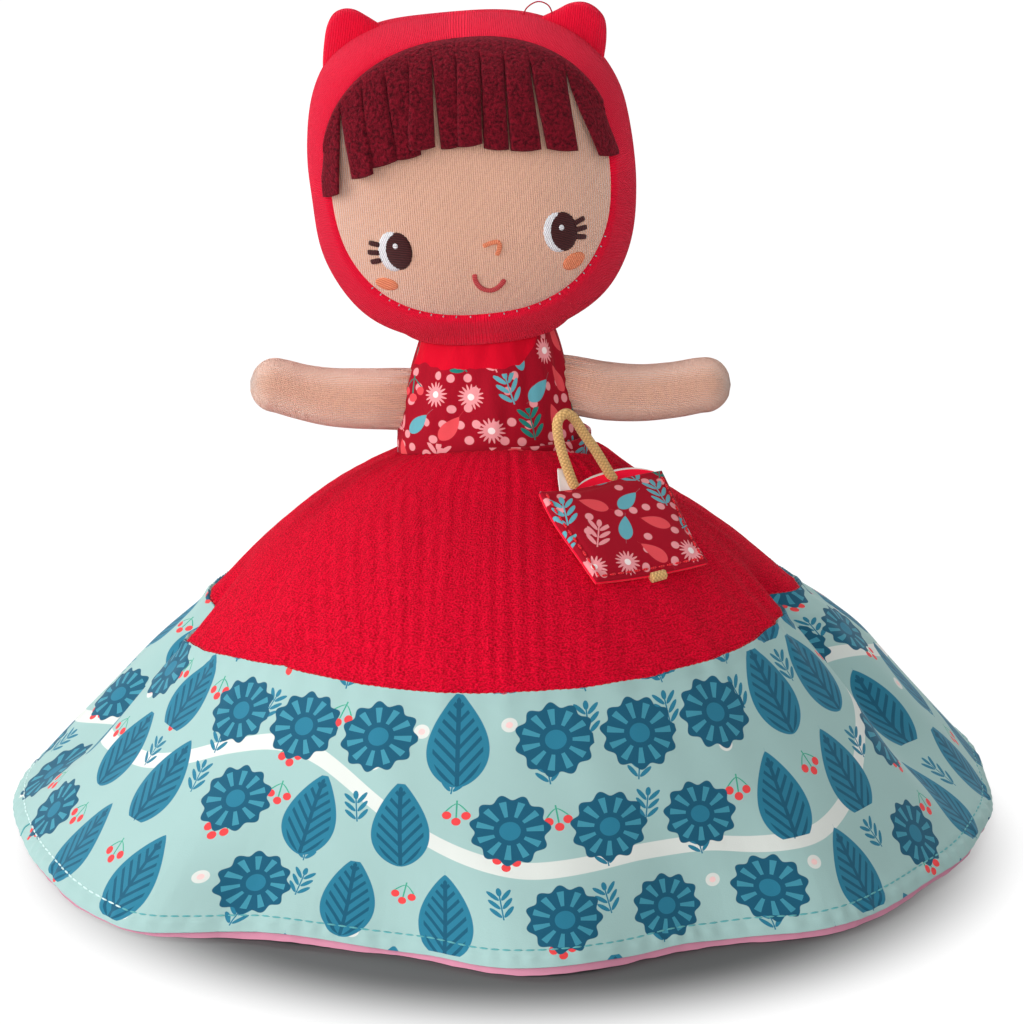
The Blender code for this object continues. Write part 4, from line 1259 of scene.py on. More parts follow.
def knit_group():
    """Stocking stitch: fine ribs one way, broken into short loops the other way. Its Shade
    follows the height: painted shade between the ribs and loops, with random mottling.
    """
    group, (place, wale), give = new_group("knit", ("Place", "Wale"), ("Height", "Shade"))
    across, up, _ = split(group, place)
    wobble = (noise(group, place, 260, 2, 0.5) - 0.5) * 2.4
    rib = calc(group, "SINE", across * (2 * math.pi) / wale + wobble)
    loop = calc(group, "SINE", up * (2 * math.pi * 1.2) / wale + rib * 1.2)
    height = noise(group, place, 1500, 2, 0.6) * 2.6 + (loop * 0.3 + rib)
    return give(height, share_between(height, -0.5, 2.5))


knit = knit_group()
knitted = {}
for name, (roughness, sheen, tint, wale, shade, colour) in KNITS.items():
    knitted[name], knit_tree, knit_shader = new_finish(name, roughness, sheen, tint)
    loops = use_group(knit_tree, knit, Place=on_cloth(knit_tree), Wale=wale)
    # Painted shade: the knit's low parts between the ribs and loops are coloured darker.
    knit_colour = mix_colours(knit_tree, loops["Shade"], shade, colour)
    feed(knit_tree, knit_colour, knit_shader.inputs["Base Color"])
    raise_surface(knit_tree, knit_shader, loops["Height"], KNIT_RELIEF, 0.9)
jersey = knitted["red_jersey"]
skin = knitted["beige_knit"]

for place in ("upper", "hidden"):
    angles = np.linspace(-math.pi / 2, 3 * math.pi / 2, HOOD_COLUMNS + 1)
    shares = np.linspace(0, 1, HOOD_ROWS + 1) ** 1.5
    angle, share = np.meshgrid(angles, shares)
    outer = placed(hood_points(angle, share, 0.0), place)
    inner = placed(hood_points(angle, share, HOOD_CLOTH), place)
    cloth_places = np.stack((angle * HOOD_CLOTH_REACH[0], share * HOOD_CLOTH_REACH[1]), -1)
    hood = skin_object(f"hood_{place}_jersey", [(outer, inner, cloth_places)], jersey)
    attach(hood, f"head_{place}")
    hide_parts(f"hood_{place}", f"head_filling_{place}")

    across, up = disc_grid(FACE_CELLS)
    spread = np.hypot(across, up)
    edge_across, edge_up = opening_edge(np.arctan2(up, across))
    share = spread * FACE_TUCK_SHARE
    face_across = OPENING_MIDDLE[0] + (edge_across - OPENING_MIDDLE[0]) * share
    face_up = OPENING_MIDDLE[1] + (edge_up - OPENING_MIDDLE[1]) * share
    depth = FACE_DEPTH + FACE_EDGE_DEPTH * rise_between(spread, 0.93, 1.0)
    face_grid = face_sheet(face_across, face_up, depth, depth + HOOD_CLOTH, place)
    face = skin_object(f"face_{place}_knit", [face_grid], skin)
    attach(face, f"head_{place}")
    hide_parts(f"face_panel_{place}")


# Fringes. A strip of burgundy fleece caught in the seam over the face and slit by hand into eleven
# locks, which part and overlap a little.
FLEECE_THICKNESS = 0.0021
LOCK_COLUMNS = 14
LOCK_ROWS = 40
LOCK_END_BOW = 0.0004
LOCKS = (
    # across at the slit's top left and right, across and up at the end's left and right, and how
    # far the end's left and right sides stand off the face, in thousandths of a metre
    (-40.8, -34.9, -43.6, 1.8, -37.3, 3.7, 0.5, 1.6),
    (-34.9, -28.2, -33.3, 8.1, -26.8, 9.7, 1.3, 2.0),
    (-28.2, -21.4, -28.7, 10.9, -19.9, 13.0, 0.7, 1.5),
    (-21.4, -14.7, -20.2, 13.0, -13.0, 14.1, 0.8, 0.6),
    (-14.7, -8.0, -16.4, 15.6, -8.9, 16.1, 1.9, 1.5),
    (-8.0, -1.3, -7.4, 15.2, -1.5, 15.7, 0.6, 0.5),
    (-1.3, 5.5, -2.6, 15.6, 4.3, 16.0, 1.8, 1.6),
    (5.5, 12.0, 4.5, 14.5, 11.5, 13.6, 0.8, 1.2),
    (12.0, 19.1, 11.9, 13.2, 20.6, 12.6, 1.0, 0.8),
    (19.1, 29.0, 22.0, 12.6, 30.8, 10.9, 0.7, 1.3),
    (29.0, 39.0, 36.4, 8.7, 42.6, 7.2, 2.2, 0.6),
)
FRINGE_HALF_SIZE = (0.0424, 0.0400)
FRINGE_MIDDLE_HEIGHT = 0.0036
SLIT_START_SHARE = 0.16
# the pile's low parts, coloured darker: painted shade in its hollows, with the pile's random tone
FLEECE_PAINTED_PILE_SHADE = (0.032, 0.0006, 0.0028, 1)
FLEECE_LIGHT = (0.215, 0.005, 0.016, 1)
FLEECE_PILE = 0.0009
FLEECE_RELIEF = 0.0013

fleece, fleece_tree, fleece_shader = new_finish("burgundy_fleece", 0.95, 0.3, (0.8, 0.10, 0.15, 1))
fleece_place = wire(fleece_tree, "TexCoord").outputs["Object"]
pile = noise(fleece_tree, fleece_place, 1 / FLEECE_PILE, 3, 0.65)
# Painted shade: where the pile is low, the fleece is coloured dark.
fleece_colour = mix_colours(fleece_tree, share_between(pile, 0.34, 0.66), FLEECE_PAINTED_PILE_SHADE, FLEECE_LIGHT)
feed(fleece_tree, fleece_colour, fleece_shader.inputs["Base Color"])
raise_surface(fleece_tree, fleece_shader, pile, FLEECE_RELIEF)


def fringe_top(across):
    reach = np.clip(np.abs(across) / FRINGE_HALF_SIZE[0], 0, 1)
    rise = (1 - reach**OPENING_SQUARENESS) ** (1 / OPENING_SQUARENESS)
    return FRINGE_MIDDLE_HEIGHT + FRINGE_HALF_SIZE[1] * rise


def lock_grid(lock, place):
    """One lock: a strip that is thin at its edges, full in its middle, and bends off the face."""
    top_left, top_right, left, left_end, right, right_end, left_lift, right_lift = lock
    column, row = np.meshgrid(np.linspace(0, 1, LOCK_COLUMNS + 1), np.linspace(0, 1, LOCK_ROWS + 1))
    top = (top_left + (top_right - top_left) * column) / 1000
    end = (left + (right - left) * column) / 1000
    end_up = (left_end + (right_end - left_end) * column) / 1000
    end_up = end_up - LOCK_END_BOW * np.sin(math.pi * column)
    fall = rise_between(row, 0.0, 1.3) / rise_between(1.0, 0.0, 1.3)
    limit = FRINGE_HALF_SIZE[0] * (1 - 0.0015)
    across = np.clip(top + (end - top) * fall, -limit, limit)
    up = fringe_top(top) + (end_up - fringe_top(top)) * row
    lift = (left_lift + (right_lift - left_lift) * column) / 1000 * rise_between(row, 0.1, 1.0)
    slit = rise_between(row, SLIT_START_SHARE * 0.7, SLIT_START_SHARE * 1.3)
    rounding = np.clip(1 - np.abs(2 * column - 1) ** 6, 0, 1) ** 0.5
    ending = np.clip(1 - np.abs(2 * row - 1) ** 60, 0, 1) ** 0.5
    full = FLEECE_THICKNESS * (1 - slit + slit * rounding) * ending
    middle = FACE_DEPTH - lift - FLEECE_THICKNESS / 2
    return face_sheet(across, up, middle - full / 2, middle + full / 2, place)


for place in ("upper", "hidden"):
    fringe = skin_object(
        f"fringe_{place}_fleece", [lock_grid(lock, place) for lock in LOCKS], fleece
    )
    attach(fringe, f"head_{place}")
    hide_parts(f"fringe_{place}")


# Ears. Two small padded pieces of the hood's jersey, caught in the seam over the head.
EAR_THICKNESS = 0.0068
EAR_COLUMNS = 48
EAR_ROWS = 28
EAR_ROOT_DEPTH = 0.005
EARS = {
    # the outline across and up, in thousandths of a metre in the head's frame
    "left": ((-40.6, 31.0), (-40.3, 36.5), (-39.4, 42.0), (-38.1, 46.9), (-35.9, 50.3),
             (-32.9, 51.5), (-29.7, 51.0), (-26.4, 48.9), (-22.0, 45.6)),
    "right": ((23.5, 44.6), (27.9, 46.2), (31.2, 47.6), (34.1, 48.0), (37.0, 47.4),
              (39.8, 45.3), (41.6, 42.0), (41.5, 36.5), (40.0, 29.5)),
}


def drawn_curve(points, count):
    """A smooth line through points, at even steps."""
    given = np.array(points, float)
    padded = np.concatenate((2 * given[:1] - given[1:2], given, 2 * given[-1:] - given[-2:-1]))
    place = np.linspace(0, len(given) - 1, count)
    first = np.minimum(place.astype(int), len(given) - 2)
    share = (place - first)[:, None]
    a, b, c, d = (padded[first + step] for step in range(4))
    return (2 * b + (c - a) * share + (2 * a - 5 * b + 4 * c - d) * share**2
            + (3 * b - a - 3 * c + d) * share**3) / 2


for name, outline in EARS.items():
    edge = drawn_curve(outline, EAR_COLUMNS + 1) / 1000
    column = np.linspace(0, 1, EAR_COLUMNS + 1)
    root = edge[0] + (edge[-1] - edge[0]) * column[:, None]
    root = root * (1 - EAR_ROOT_DEPTH / np.linalg.norm(root, axis=1, keepdims=True))
    sweep = np.linspace(-1, 1, EAR_ROWS + 1)
    inwards = 1 - np.abs(sweep)
    taper = np.sin(math.pi * np.clip(column, 0, 1)) ** 0.3
    swell = np.sqrt(np.clip(1 - (1 - np.clip(inwards * 1.4, 0, 1)) ** 2, 0, 1)) * np.sign(sweep)
    flat = edge[None] * (1 - inwards[:, None, None]) + root[None] * inwards[:, None, None]
    puffed = EAR_THICKNESS / 2 * swell[:, None] * taper[None]
    puffed[EAR_ROWS // 2] = 0
    order = np.arange(EAR_ROWS // 2, -1, -1)
    order = np.concatenate((order, np.arange(EAR_ROWS, EAR_ROWS // 2, -1), order[:1]))
    flat = flat[order]
    points = np.stack((flat[..., 0], puffed[order], flat[..., 1]), -1)
    ear = skin_object(f"ear_{name}_jersey", [(placed(points, "upper"), None, flat)], jersey)
    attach(ear, "head_upper")
    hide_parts(f"ear_{name}")


# Embroidery. Satin stitch on both faces: brown eyes with a white crescent and a small highlight,
# three lashes each, a nose, a smile and two cheeks. Small stitches show along the face's seam.
THREAD_HEIGHT = 0.00045
THREAD_PITCH = 0.00052
THREAD_SINK = 0.0002
THREAD_RELIEF = 0.0002
THREAD_GLOSS = 0.2
PATCH_RINGS = 10
PATCH_COLUMNS = 72
RAGGED_SHARE = 0.022
STROKE_ROWS = 44
STROKE_COLUMNS = 12
STROKE_PITCH = 0.00045
PATCHES = (
    # colour, middle across and up, half its width and height, all in thousandths of a metre in
    # the head's frame, its turn in degrees and the turn of its threads, and how far it stands up
    ("white", -23.8, -13.7, 4.0, 5.9, 3, 60, 1.0),
    ("white", 23.2, -11.9, 4.0, 5.9, 3, 60, 1.0),
    ("brown", -22.1, -13.6, 3.95, 5.6, 3, 0, 1.5),
    ("brown", 24.8, -11.9, 3.95, 5.8, 3, 0, 1.5),
    ("white", -22.8, -11.9, 0.85, 0.95, 0, 0, 2.1),
    ("white", 24.4, -10.5, 0.85, 0.95, 0, 0, 2.1),
    ("orange", -26.4, -23.6, 3.3, 1.9, -14, 35, 1.0),
    ("orange", 27.1, -21.2, 3.4, 2.3, 28, 35, 1.0),
)
STROKES = (
    # colour, width in thousandths of a metre, points across and up
    ("brown", 1.55, ((-27.2, -11.7), (-30.4, -11.0))),
    ("brown", 1.55, ((-27.6, -14.0), (-31.0, -13.9))),
    ("brown", 1.55, ((-27.3, -16.2), (-30.4, -16.9))),
    ("brown", 1.55, ((27.7, -10.2), (31.1, -8.9))),
    ("brown", 1.55, ((27.9, -12.0), (31.6, -11.7))),
    ("brown", 1.55, ((27.5, -13.8), (31.2, -14.6))),
    ("orange", 1.35, ((1.9, -13.6), (4.0, -12.9), (6.0, -12.7), (6.6, -13.6), (6.3, -15.2),
                      (5.5, -16.7))),
    ("coral", 1.5, ((-1.2, -21.7), (-1.0, -24.0), (0.4, -26.2), (2.8, -27.2), (5.3, -26.3),
                    (7.3, -24.1))),
)
# each thread's colour in the painted shade and in the painted light of its twist
THREAD_PAINTED_TWIST_COLOURS = {
    "brown": ((0.012, 0.0016, 0.002, 1), (0.085, 0.014, 0.015, 1)),
    "white": ((0.62, 0.60, 0.64, 1), (0.90, 0.90, 0.92, 1)),
    "orange": ((0.66, 0.14, 0.06, 1), (0.92, 0.34, 0.18, 1)),
    "coral": ((0.40, 0.030, 0.034, 1), (0.68, 0.095, 0.10, 1)),
}
SEAM_STITCH_LENGTH = 0.0007
SEAM_STITCH_WIDTH = 0.00042
SEAM_STITCH_DEPTH = 0.0006
SEAM_STITCH_LEAN = -0.01
SEAM_STITCHES = 24
SEAM_STITCH_ARC_DEGREES = (224, 334)
BALL_CELLS = 8


def painted_twist_shading(tree, turns_in_metre):
    """Painted light and shade along a thread's twist: a stripe that repeats along its cloth."""
    _, along, _ = split(tree, on_cloth(tree))
    return calc(tree, "SINE", along * turns_in_metre) * 0.5 + 0.5


def running_length(line):
    return np.concatenate(([0], np.cumsum(np.linalg.norm(np.diff(line, axis=0), axis=1))))


thread_materials = {}
for thread, (dark, light) in THREAD_PAINTED_TWIST_COLOURS.items():
    satin, satin_tree, satin_shader = new_finish(f"thread_{thread}", 0.5, 0.03, WHITE)
    strand = painted_twist_shading(satin_tree, 2 * math.pi / THREAD_PITCH)
    # Painted light and shade: the twist's stripe mixes each thread's dark and light colour.
    satin_colour = mix_colours(satin_tree, strand, dark, light)
    feed(satin_tree, satin_colour, satin_shader.inputs["Base Color"])
    satin_shader.inputs["Specular IOR Level"].default_value = THREAD_GLOSS
    raise_surface(satin_tree, satin_shader, strand, THREAD_RELIEF)
    thread_materials[thread] = satin


def patch_grid(patch, place):
    _, middle_across, middle_up, half_width, half_height, turn, thread_turn, rise = patch
    angle, ring = np.meshgrid(
        np.linspace(0, 2 * math.pi, PATCH_COLUMNS + 1), np.linspace(0, 1, PATCH_RINGS + 1)
    )
    ragged = 1 + RAGGED_SHARE * np.sin(29 * angle + 2 * np.sin(5 * angle)) * ring
    across = half_width * ring * ragged * np.cos(angle)
    up = half_height * ring * ragged * np.sin(angle)
    turned = math.radians(turn)
    x = (middle_across + across * math.cos(turned) - up * math.sin(turned)) / 1000
    z = (middle_up + across * math.sin(turned) + up * math.cos(turned)) / 1000
    height = THREAD_HEIGHT * rise * np.clip(1 - ring**5, 0, 1) ** 0.5
    threads = math.radians(thread_turn)
    lengthwise = (across * math.cos(threads) + up * math.sin(threads)) / 1000
    sideways = (up * math.cos(threads) - across * math.sin(threads)) / 1000
    cloth_places = np.stack((lengthwise, sideways), -1)
    sunk = FACE_DEPTH + THREAD_SINK + 0 * height
    return face_sheet(x, z, FACE_DEPTH - height, sunk, place, cloth_places)


def stroke_grid(stroke, place):
    _, width, points = stroke
    line = drawn_curve(points, STROKE_ROWS + 1) / 1000
    heading = unit(np.gradient(line, axis=0))
    length = running_length(line)
    half = width / 2000
    from_end = np.minimum(length, length[-1] - length)
    ending = np.sqrt(np.clip(1 - (1 - np.clip(from_end / half, 0, 1)) ** 2, 0, 1))
    column = np.linspace(-1, 1, STROKE_COLUMNS + 1)
    reach = half * (0.55 + 0.45 * ending)
    reach = reach * (1 + 0.08 * np.sin(length * 2 * math.pi / STROKE_PITCH))
    x = line[:, None, 0] - heading[:, None, 1] * column * reach[:, None]
    z = line[:, None, 1] + heading[:, None, 0] * column * reach[:, None]
    height = 1.2 * THREAD_HEIGHT * np.sqrt(1 - column**4) * ending[:, None]
    cloth_places = np.stack((column * reach[:, None], length[:, None] + 0 * x), -1)
    sunk = FACE_DEPTH + THREAD_SINK + 0 * height
    return face_sheet(x, z, FACE_DEPTH - height, sunk, place, cloth_places)


def ball_grid(middle, axes):
    """A small closed ball drawn out along three axes, for a stitch."""
    angle, polar = np.meshgrid(
        np.linspace(0, 2 * math.pi, BALL_CELLS + 1), np.linspace(0, math.pi, BALL_CELLS)
    )
    shape = (np.sin(polar) * np.cos(angle), np.sin(polar) * np.sin(angle), np.cos(polar))
    points = np.array(middle) + sum(
        part[..., None] * np.array(axis) for part, axis in zip(shape, axes)
    )
    return points, np.stack((angle, polar), -1) / 1000


for place in ("upper", "hidden"):
    for thread, material in thread_materials.items():
        grids = [patch_grid(patch, place) for patch in PATCHES if patch[0] == thread]
        grids += [stroke_grid(stroke, place) for stroke in STROKES if stroke[0] == thread]
        stitched = skin_object(f"stitching_{thread}_{place}", grids, material)
        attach(stitched, f"head_{place}")

    grids = []
    for angle in np.radians(np.linspace(*SEAM_STITCH_ARC_DEGREES, SEAM_STITCHES)):
        seam_across, seam_up = opening_edge(np.array([[angle]]))
        spot = face_points(seam_across, seam_up, np.array([[SEAM_STITCH_DEPTH]]))[0, 0]
        outwards = unit(np.array([seam_across[0, 0], SEAM_STITCH_LEAN, seam_up[0, 0]]))
        sideways = unit(np.cross(outwards, (0, -1, 0)))
        points, cloth_places = ball_grid(spot, (
            outwards * SEAM_STITCH_LENGTH / 2, sideways * SEAM_STITCH_WIDTH / 2,
            np.cross(outwards, sideways) * SEAM_STITCH_WIDTH / 2,
        ))
        grids.append((placed(points, place), None, cloth_places))
    seam_stitches = skin_object(f"face_seam_stitches_{place}", grids, thread_materials["white"])
    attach(seam_stitches, f"head_{place}")


# Loose thread. A bight of the hood's red sewing thread that stands out of the seam beside an ear.
LOOSE_THREAD_RADIUS = 0.0002
LOOSE_THREAD_STEPS = 40
LOOSE_THREAD_SIDES = 8
LOOSE_THREAD_LINE = (
    # across, deep and up, in thousandths of a metre in the head's frame
    (17.9, -1.0, 44.0), (19.3, -1.2, 47.4), (22.6, -1.4, 49.1), (25.6, -1.2, 47.8),
    (26.9, -1.0, 44.5),
)


def tube_grid(line, radius, sides):
    """A round tube along a line of points, closed at both ends. radius may change along it."""
    heading = unit(np.gradient(line, axis=0))
    side = unit(np.cross(heading, (0.0, 1.0, 0.0)))
    other = np.cross(heading, side)
    angles, lengths = np.meshgrid(np.linspace(0, 2 * math.pi, sides + 1), running_length(line))
    reach = radius(lengths, angles) if callable(radius) else radius + 0 * lengths
    ring = side[:, None] * np.cos(angles)[..., None] + other[:, None] * np.sin(angles)[..., None]
    points = line[:, None] + ring * reach[..., None]
    ends = [line[place, None] + 0 * points[:1] for place in (slice(0, 1), slice(-1, None))]
    places = np.stack((angles, lengths), -1)
    places = np.concatenate((places[:1], places, places[-1:]))
    return np.concatenate((ends[0], points, ends[1])), None, places


loose_line = drawn_curve(LOOSE_THREAD_LINE, LOOSE_THREAD_STEPS) / 1000
points, _, cloth_places = tube_grid(loose_line, LOOSE_THREAD_RADIUS, LOOSE_THREAD_SIDES)
loose_thread = skin_object("hood_loose_thread", [(placed(points, "upper"), None, cloth_places)], jersey)
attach(loose_thread, "head_upper")


# Arms. Stuffed sleeves of beige knit, sewn flat into the bodices' side seams, round at the hand and
# a little bent. The knit's ribs run along the arm. The hidden doll's arms hang down inside.
ARM_WIDTH = 0.0172
ARM_STEPS = 84
ARM_COLUMNS = 72
ARM_ROOT_TUCK = 0.0035
ARM_FLAT_LENGTH = 0.016
ARM_FLAT_SHARE = 0.42
ARM_GATHERS = 0.0004
ARM_GATHER_REACH = 0.006
HIDDEN_ARM_SHARE = 0.95
HIDDEN_ARM_REACH = 0.0475
HIDDEN_ARM_DROOP_DEGREES = 40
HIDDEN_SHOULDER = (0.0235, 0.0952)
ARM_LINES = {
    # across and up at the middle of the sleeve, from the shoulder to the hand
    "left": ((-0.0240, 0.1226), (-0.0330, 0.1230), (-0.0440, 0.1232), (-0.0520, 0.1237),
             (-0.0600, 0.1252), (-0.0670, 0.1271), (-0.0752, 0.1286)),
    "right": ((0.0145, 0.1278), (0.0220, 0.1268), (0.0300, 0.1254), (0.0400, 0.1249),
              (0.0500, 0.1258), (0.0580, 0.1272), (0.0666, 0.1274)),
}
ARM_FULLNESS = {
    # how thick the sleeve is, as shares of its width, from the shoulder to the hand
    "left": (1.05, 1.06, 1.04, 1.0, 0.95, 0.93, 0.93),
    "right": (1.0, 1.0, 1.01, 0.98, 0.96, 0.95, 0.95),
}


def arm_grid(line, fullness, width):
    line = drawn_curve(line, ARM_STEPS + 1)
    share = np.linspace(0, len(fullness) - 1, ARM_STEPS + 1)
    full = np.interp(share, range(len(fullness)), fullness) * width / 2
    heading = unit(np.gradient(line, axis=0))
    length = running_length(line)
    tip = np.clip((length - (length[-1] - full[-1] * 0.92)) / (full[-1] * 0.92), 0, 1)
    full = full * np.sqrt(np.clip(1 - tip**2, 0, 1))
    flat = ARM_FLAT_SHARE + (1 - ARM_FLAT_SHARE) * np.sin(
        np.clip(length / ARM_FLAT_LENGTH, 0, 1) * math.pi / 2
    )
    angle = np.linspace(0, 2 * math.pi, ARM_COLUMNS + 1)
    near_root = np.exp(-((length - ARM_ROOT_TUCK) / ARM_GATHER_REACH) ** 2)[:, None]
    gathers = ARM_GATHERS * near_root * np.cos(17 * angle + 1.3 * np.sin(2 * angle))
    high = (full[:, None] + gathers) * np.cos(angle)
    deep = (full[:, None] * flat[:, None] + gathers) * np.sin(angle)
    x = line[:, None, 0] - heading[:, None, 1] * high
    z = line[:, None, 1] + heading[:, None, 0] * high
    points = np.stack((x, deep, z), -1)
    root = np.stack((line[:1, 0], np.zeros(1), line[:1, 1]), -1)[:, None] + 0 * points[:1]
    places = np.stack((angle[None] * width / 2 + 0 * x, length[:, None] + 0 * x), -1)
    return np.concatenate((root, points)), None, np.concatenate((places[:1], places))


for place in ("upper", "hidden"):
    for name, side in (("left", -1), ("right", 1)):
        line = ARM_LINES[name]
        width = ARM_WIDTH
        if place == "hidden":
            droop = math.radians(HIDDEN_ARM_DROOP_DEGREES)
            shoulder = np.array((side * HIDDEN_SHOULDER[0], HIDDEN_SHOULDER[1]))
            heading = np.array((side * math.cos(droop), -math.sin(droop)))
            steps = np.linspace(-ARM_ROOT_TUCK, HIDDEN_ARM_REACH, len(line))
            line = shoulder + heading * steps[:, None]
            width = ARM_WIDTH * HIDDEN_ARM_SHARE
        arm = skin_object(
            f"arm_{place}_{name}_knit", [arm_grid(line, ARM_FULLNESS[name], width)], skin
        )
        first = Vector((line[0][0], 0, line[0][1]))
        ahead = Vector((line[1][0], 0, line[1][1]))
        bend_start = first + (ahead - first).normalized() * ARM_ROOT_TUCK
        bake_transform(arm)
        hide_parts(f"arm_{place}_{name}", f"arm_filling_{place}_{name}")


# Bag. A flat pouch of the printed cotton on the second gore: a front panel and a taller plain red
# back panel, topstitched together in red on three sides, with a little filling between them.
BAG_AZIMUTH = GORE_SPAN
BAG_TOP_WIDTH = 0.041
BAG_BOTTOM_WIDTH = 0.0365
BAG_LENGTH = 0.034
BAG_DROP = 0.0145
BAG_SIDE_SHIFT = 0.0035
BAG_STANDOFF = 0.0073
BAG_CLOTH = 0.0009
BAG_CROWN = 0.0023
BAG_BACK_CROWN = 0.0005
BAG_FLAP_RISE = 0.0042
BAG_FLAP_SPAN = (0.28, 0.98)
BAG_CELLS = 64
BAG_CURL = 0.0012
BAG_STITCH_INSET = 0.0012
BAG_STITCH_LENGTH = 0.0021
BAG_STITCH_RADIUS = 0.00036
BAG_STITCH_GAP = 0.0006
BAG_SIDE_WAVE = 0.0006
BAG_TOP_DIP = 0.0007
BAG_FACE_GAP = 0.00005
BAG_DENT = 0.0003
BAG_PRINT_SHIFT = 0.05
FLAP_SINK = 0.0002
FLAP_CLOTH = 0.0008
FLAP_EDGE_WIDTH = 0.0007
STITCH_TWIST = 9000
# the stitches' red in the painted shade and in the painted light of their twist
STITCH_RED_PAINTED_TWIST = ((0.50, 0.004, 0.012, 1), (0.80, 0.03, 0.045, 1))
FLAP_EDGE_WHITE = (0.80, 0.76, 0.72, 1)


def rib_middle(azimuth, radius, height):
    """The middle of the straight fold at one end of a gore of the frame."""
    sides = []
    for edge in (azimuth - GORE_SPAN / 2, azimuth + GORE_SPAN / 2):
        reach = radius(edge)
        sides.append(Vector((reach * math.sin(edge), -reach * math.cos(edge), height(edge))))
    return (sides[0] + sides[1]) / 2, (sides[1] - sides[0]).normalized()


bag_hinge, bag_across = rib_middle(BAG_AZIMUTH, lambda _: WAIST_RADIUS, lambda _: WAIST_HEIGHT)
bag_foot, _ = rib_middle(BAG_AZIMUTH, seam_radius, seam_height)
bag_down = (bag_foot - bag_hinge).normalized()
bag_off = bag_across.cross(bag_down)
if bag_off.z < 0:
    bag_off = -bag_off


def bag_points(sideways, drop, lift):
    """Points in the bag's frame: across the gore, down its slope and off the cloth."""
    frame_axes = [np.array(axis) for axis in (bag_across, bag_down, bag_off)]
    parts = (sideways, drop, BAG_STANDOFF + lift)
    return np.array(bag_hinge) + sum(
        np.asarray(part)[..., None] * axis for part, axis in zip(parts, frame_axes)
    )


def bag_sides(column, row):
    width = BAG_TOP_WIDTH + row * (BAG_BOTTOM_WIDTH - BAG_TOP_WIDTH)
    width = width + BAG_SIDE_WAVE * np.sin(math.pi * row * 2.2)
    sideways = BAG_SIDE_SHIFT + (column - 0.5) * width
    dip = BAG_TOP_DIP * np.sin(math.pi * column * 1.7 + 0.4) * (1 - row)
    return sideways, BAG_DROP + row * BAG_LENGTH + dip


def bag_bend(column, row):
    """The pouch isn't flat: its corners curl up, and it sags between them."""
    corners = (2 * column - 1) ** 2 * (2 * row - 1) ** 2
    wave = np.sin(math.pi * column * 1.3 + 0.5) * np.sin(math.pi * row)
    return BAG_CURL * (corners - 0.35 * wave)


def pillow(column, row):
    return (1 - np.abs(2 * column - 1) ** 5) * (1 - np.abs(2 * row - 1) ** 5)


plain_red, plain_tree, plain_shader = new_finish("plain_red_cotton", 0.85, 0.25, (1, 0.4, 0.4, 1))
_, flap_up, _ = split(plain_tree, on_cloth(plain_tree))
flap_edge = flap_up > BAG_FLAP_RISE - FLAP_EDGE_WIDTH
flap_colour = mix_colours(plain_tree, flap_edge, JERSEY_RED, FLAP_EDGE_WHITE)
feed(plain_tree, flap_colour, plain_shader.inputs["Base Color"])
add_weave(plain_tree, plain_shader, 2200, 0.4)

column, row = np.meshgrid(np.linspace(0, 1, BAG_CELLS + 1), np.linspace(0, 1, BAG_CELLS + 1))
sideways, drop = bag_sides(column, row)
bend = bag_bend(column, row)
seam_line = 1 - np.clip(pillow(column, row) * 9, 0, 1)
dent = BAG_DENT * np.exp(-((pillow(column, row) - 0.36) / 0.12) ** 2)
crown = BAG_CROWN * pillow(column, row) - dent
bag_uv = np.stack((sideways + BAG_PRINT_SHIFT, -drop), -1)
bag_front = skin_object(
    "bag_front_print",
    [(bag_points(sideways, drop, bend + BAG_CLOTH + crown - BAG_DENT * seam_line),
      bag_points(sideways, drop, bend + BAG_FACE_GAP + 0 * crown), bag_uv)],
    red_prints["hidden"],
)
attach(bag_front, "bag")
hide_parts("bag_front", "bag_filling")

back_crown = BAG_BACK_CROWN * pillow(column, row)
flap_column, flap_row = np.meshgrid(np.linspace(*BAG_FLAP_SPAN, BAG_CELLS + 1), np.linspace(1, 0, 13))
flap_sides, flap_top = bag_sides(flap_column, 0 * flap_row)
from_middle = (flap_column - sum(BAG_FLAP_SPAN) / 2) / (BAG_FLAP_SPAN[1] - BAG_FLAP_SPAN[0])
flap_high = 1 - np.abs(from_middle * 2) ** 3
flap_rise = BAG_FLAP_RISE * flap_row * np.clip(flap_high, 0, 1)
flap_lift = bag_bend(flap_column, 0 * flap_row) - FLAP_SINK
bag_back = skin_object(
    "bag_back_cotton",
    [(bag_points(sideways, drop, bend - BAG_FACE_GAP + 0 * crown),
      bag_points(sideways, drop, bend - BAG_CLOTH - back_crown), bag_uv - (0, 1)),
     (bag_points(flap_sides, flap_top - flap_rise, flap_lift),
      bag_points(flap_sides, flap_top - flap_rise, flap_lift - FLAP_CLOTH),
      np.stack((flap_sides, BAG_FLAP_RISE * flap_row), -1))],
    plain_red,
)
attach(bag_back, "bag")
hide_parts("bag_back")

stitch_material, stitch_tree, stitch_shader = new_finish("stitch_red", 0.5, 0.1, WHITE)
stitch_colour = mix_colours(stitch_tree, painted_twist_shading(stitch_tree, STITCH_TWIST), *STITCH_RED_PAINTED_TWIST)
feed(stitch_tree, stitch_colour, stitch_shader.inputs["Base Color"])

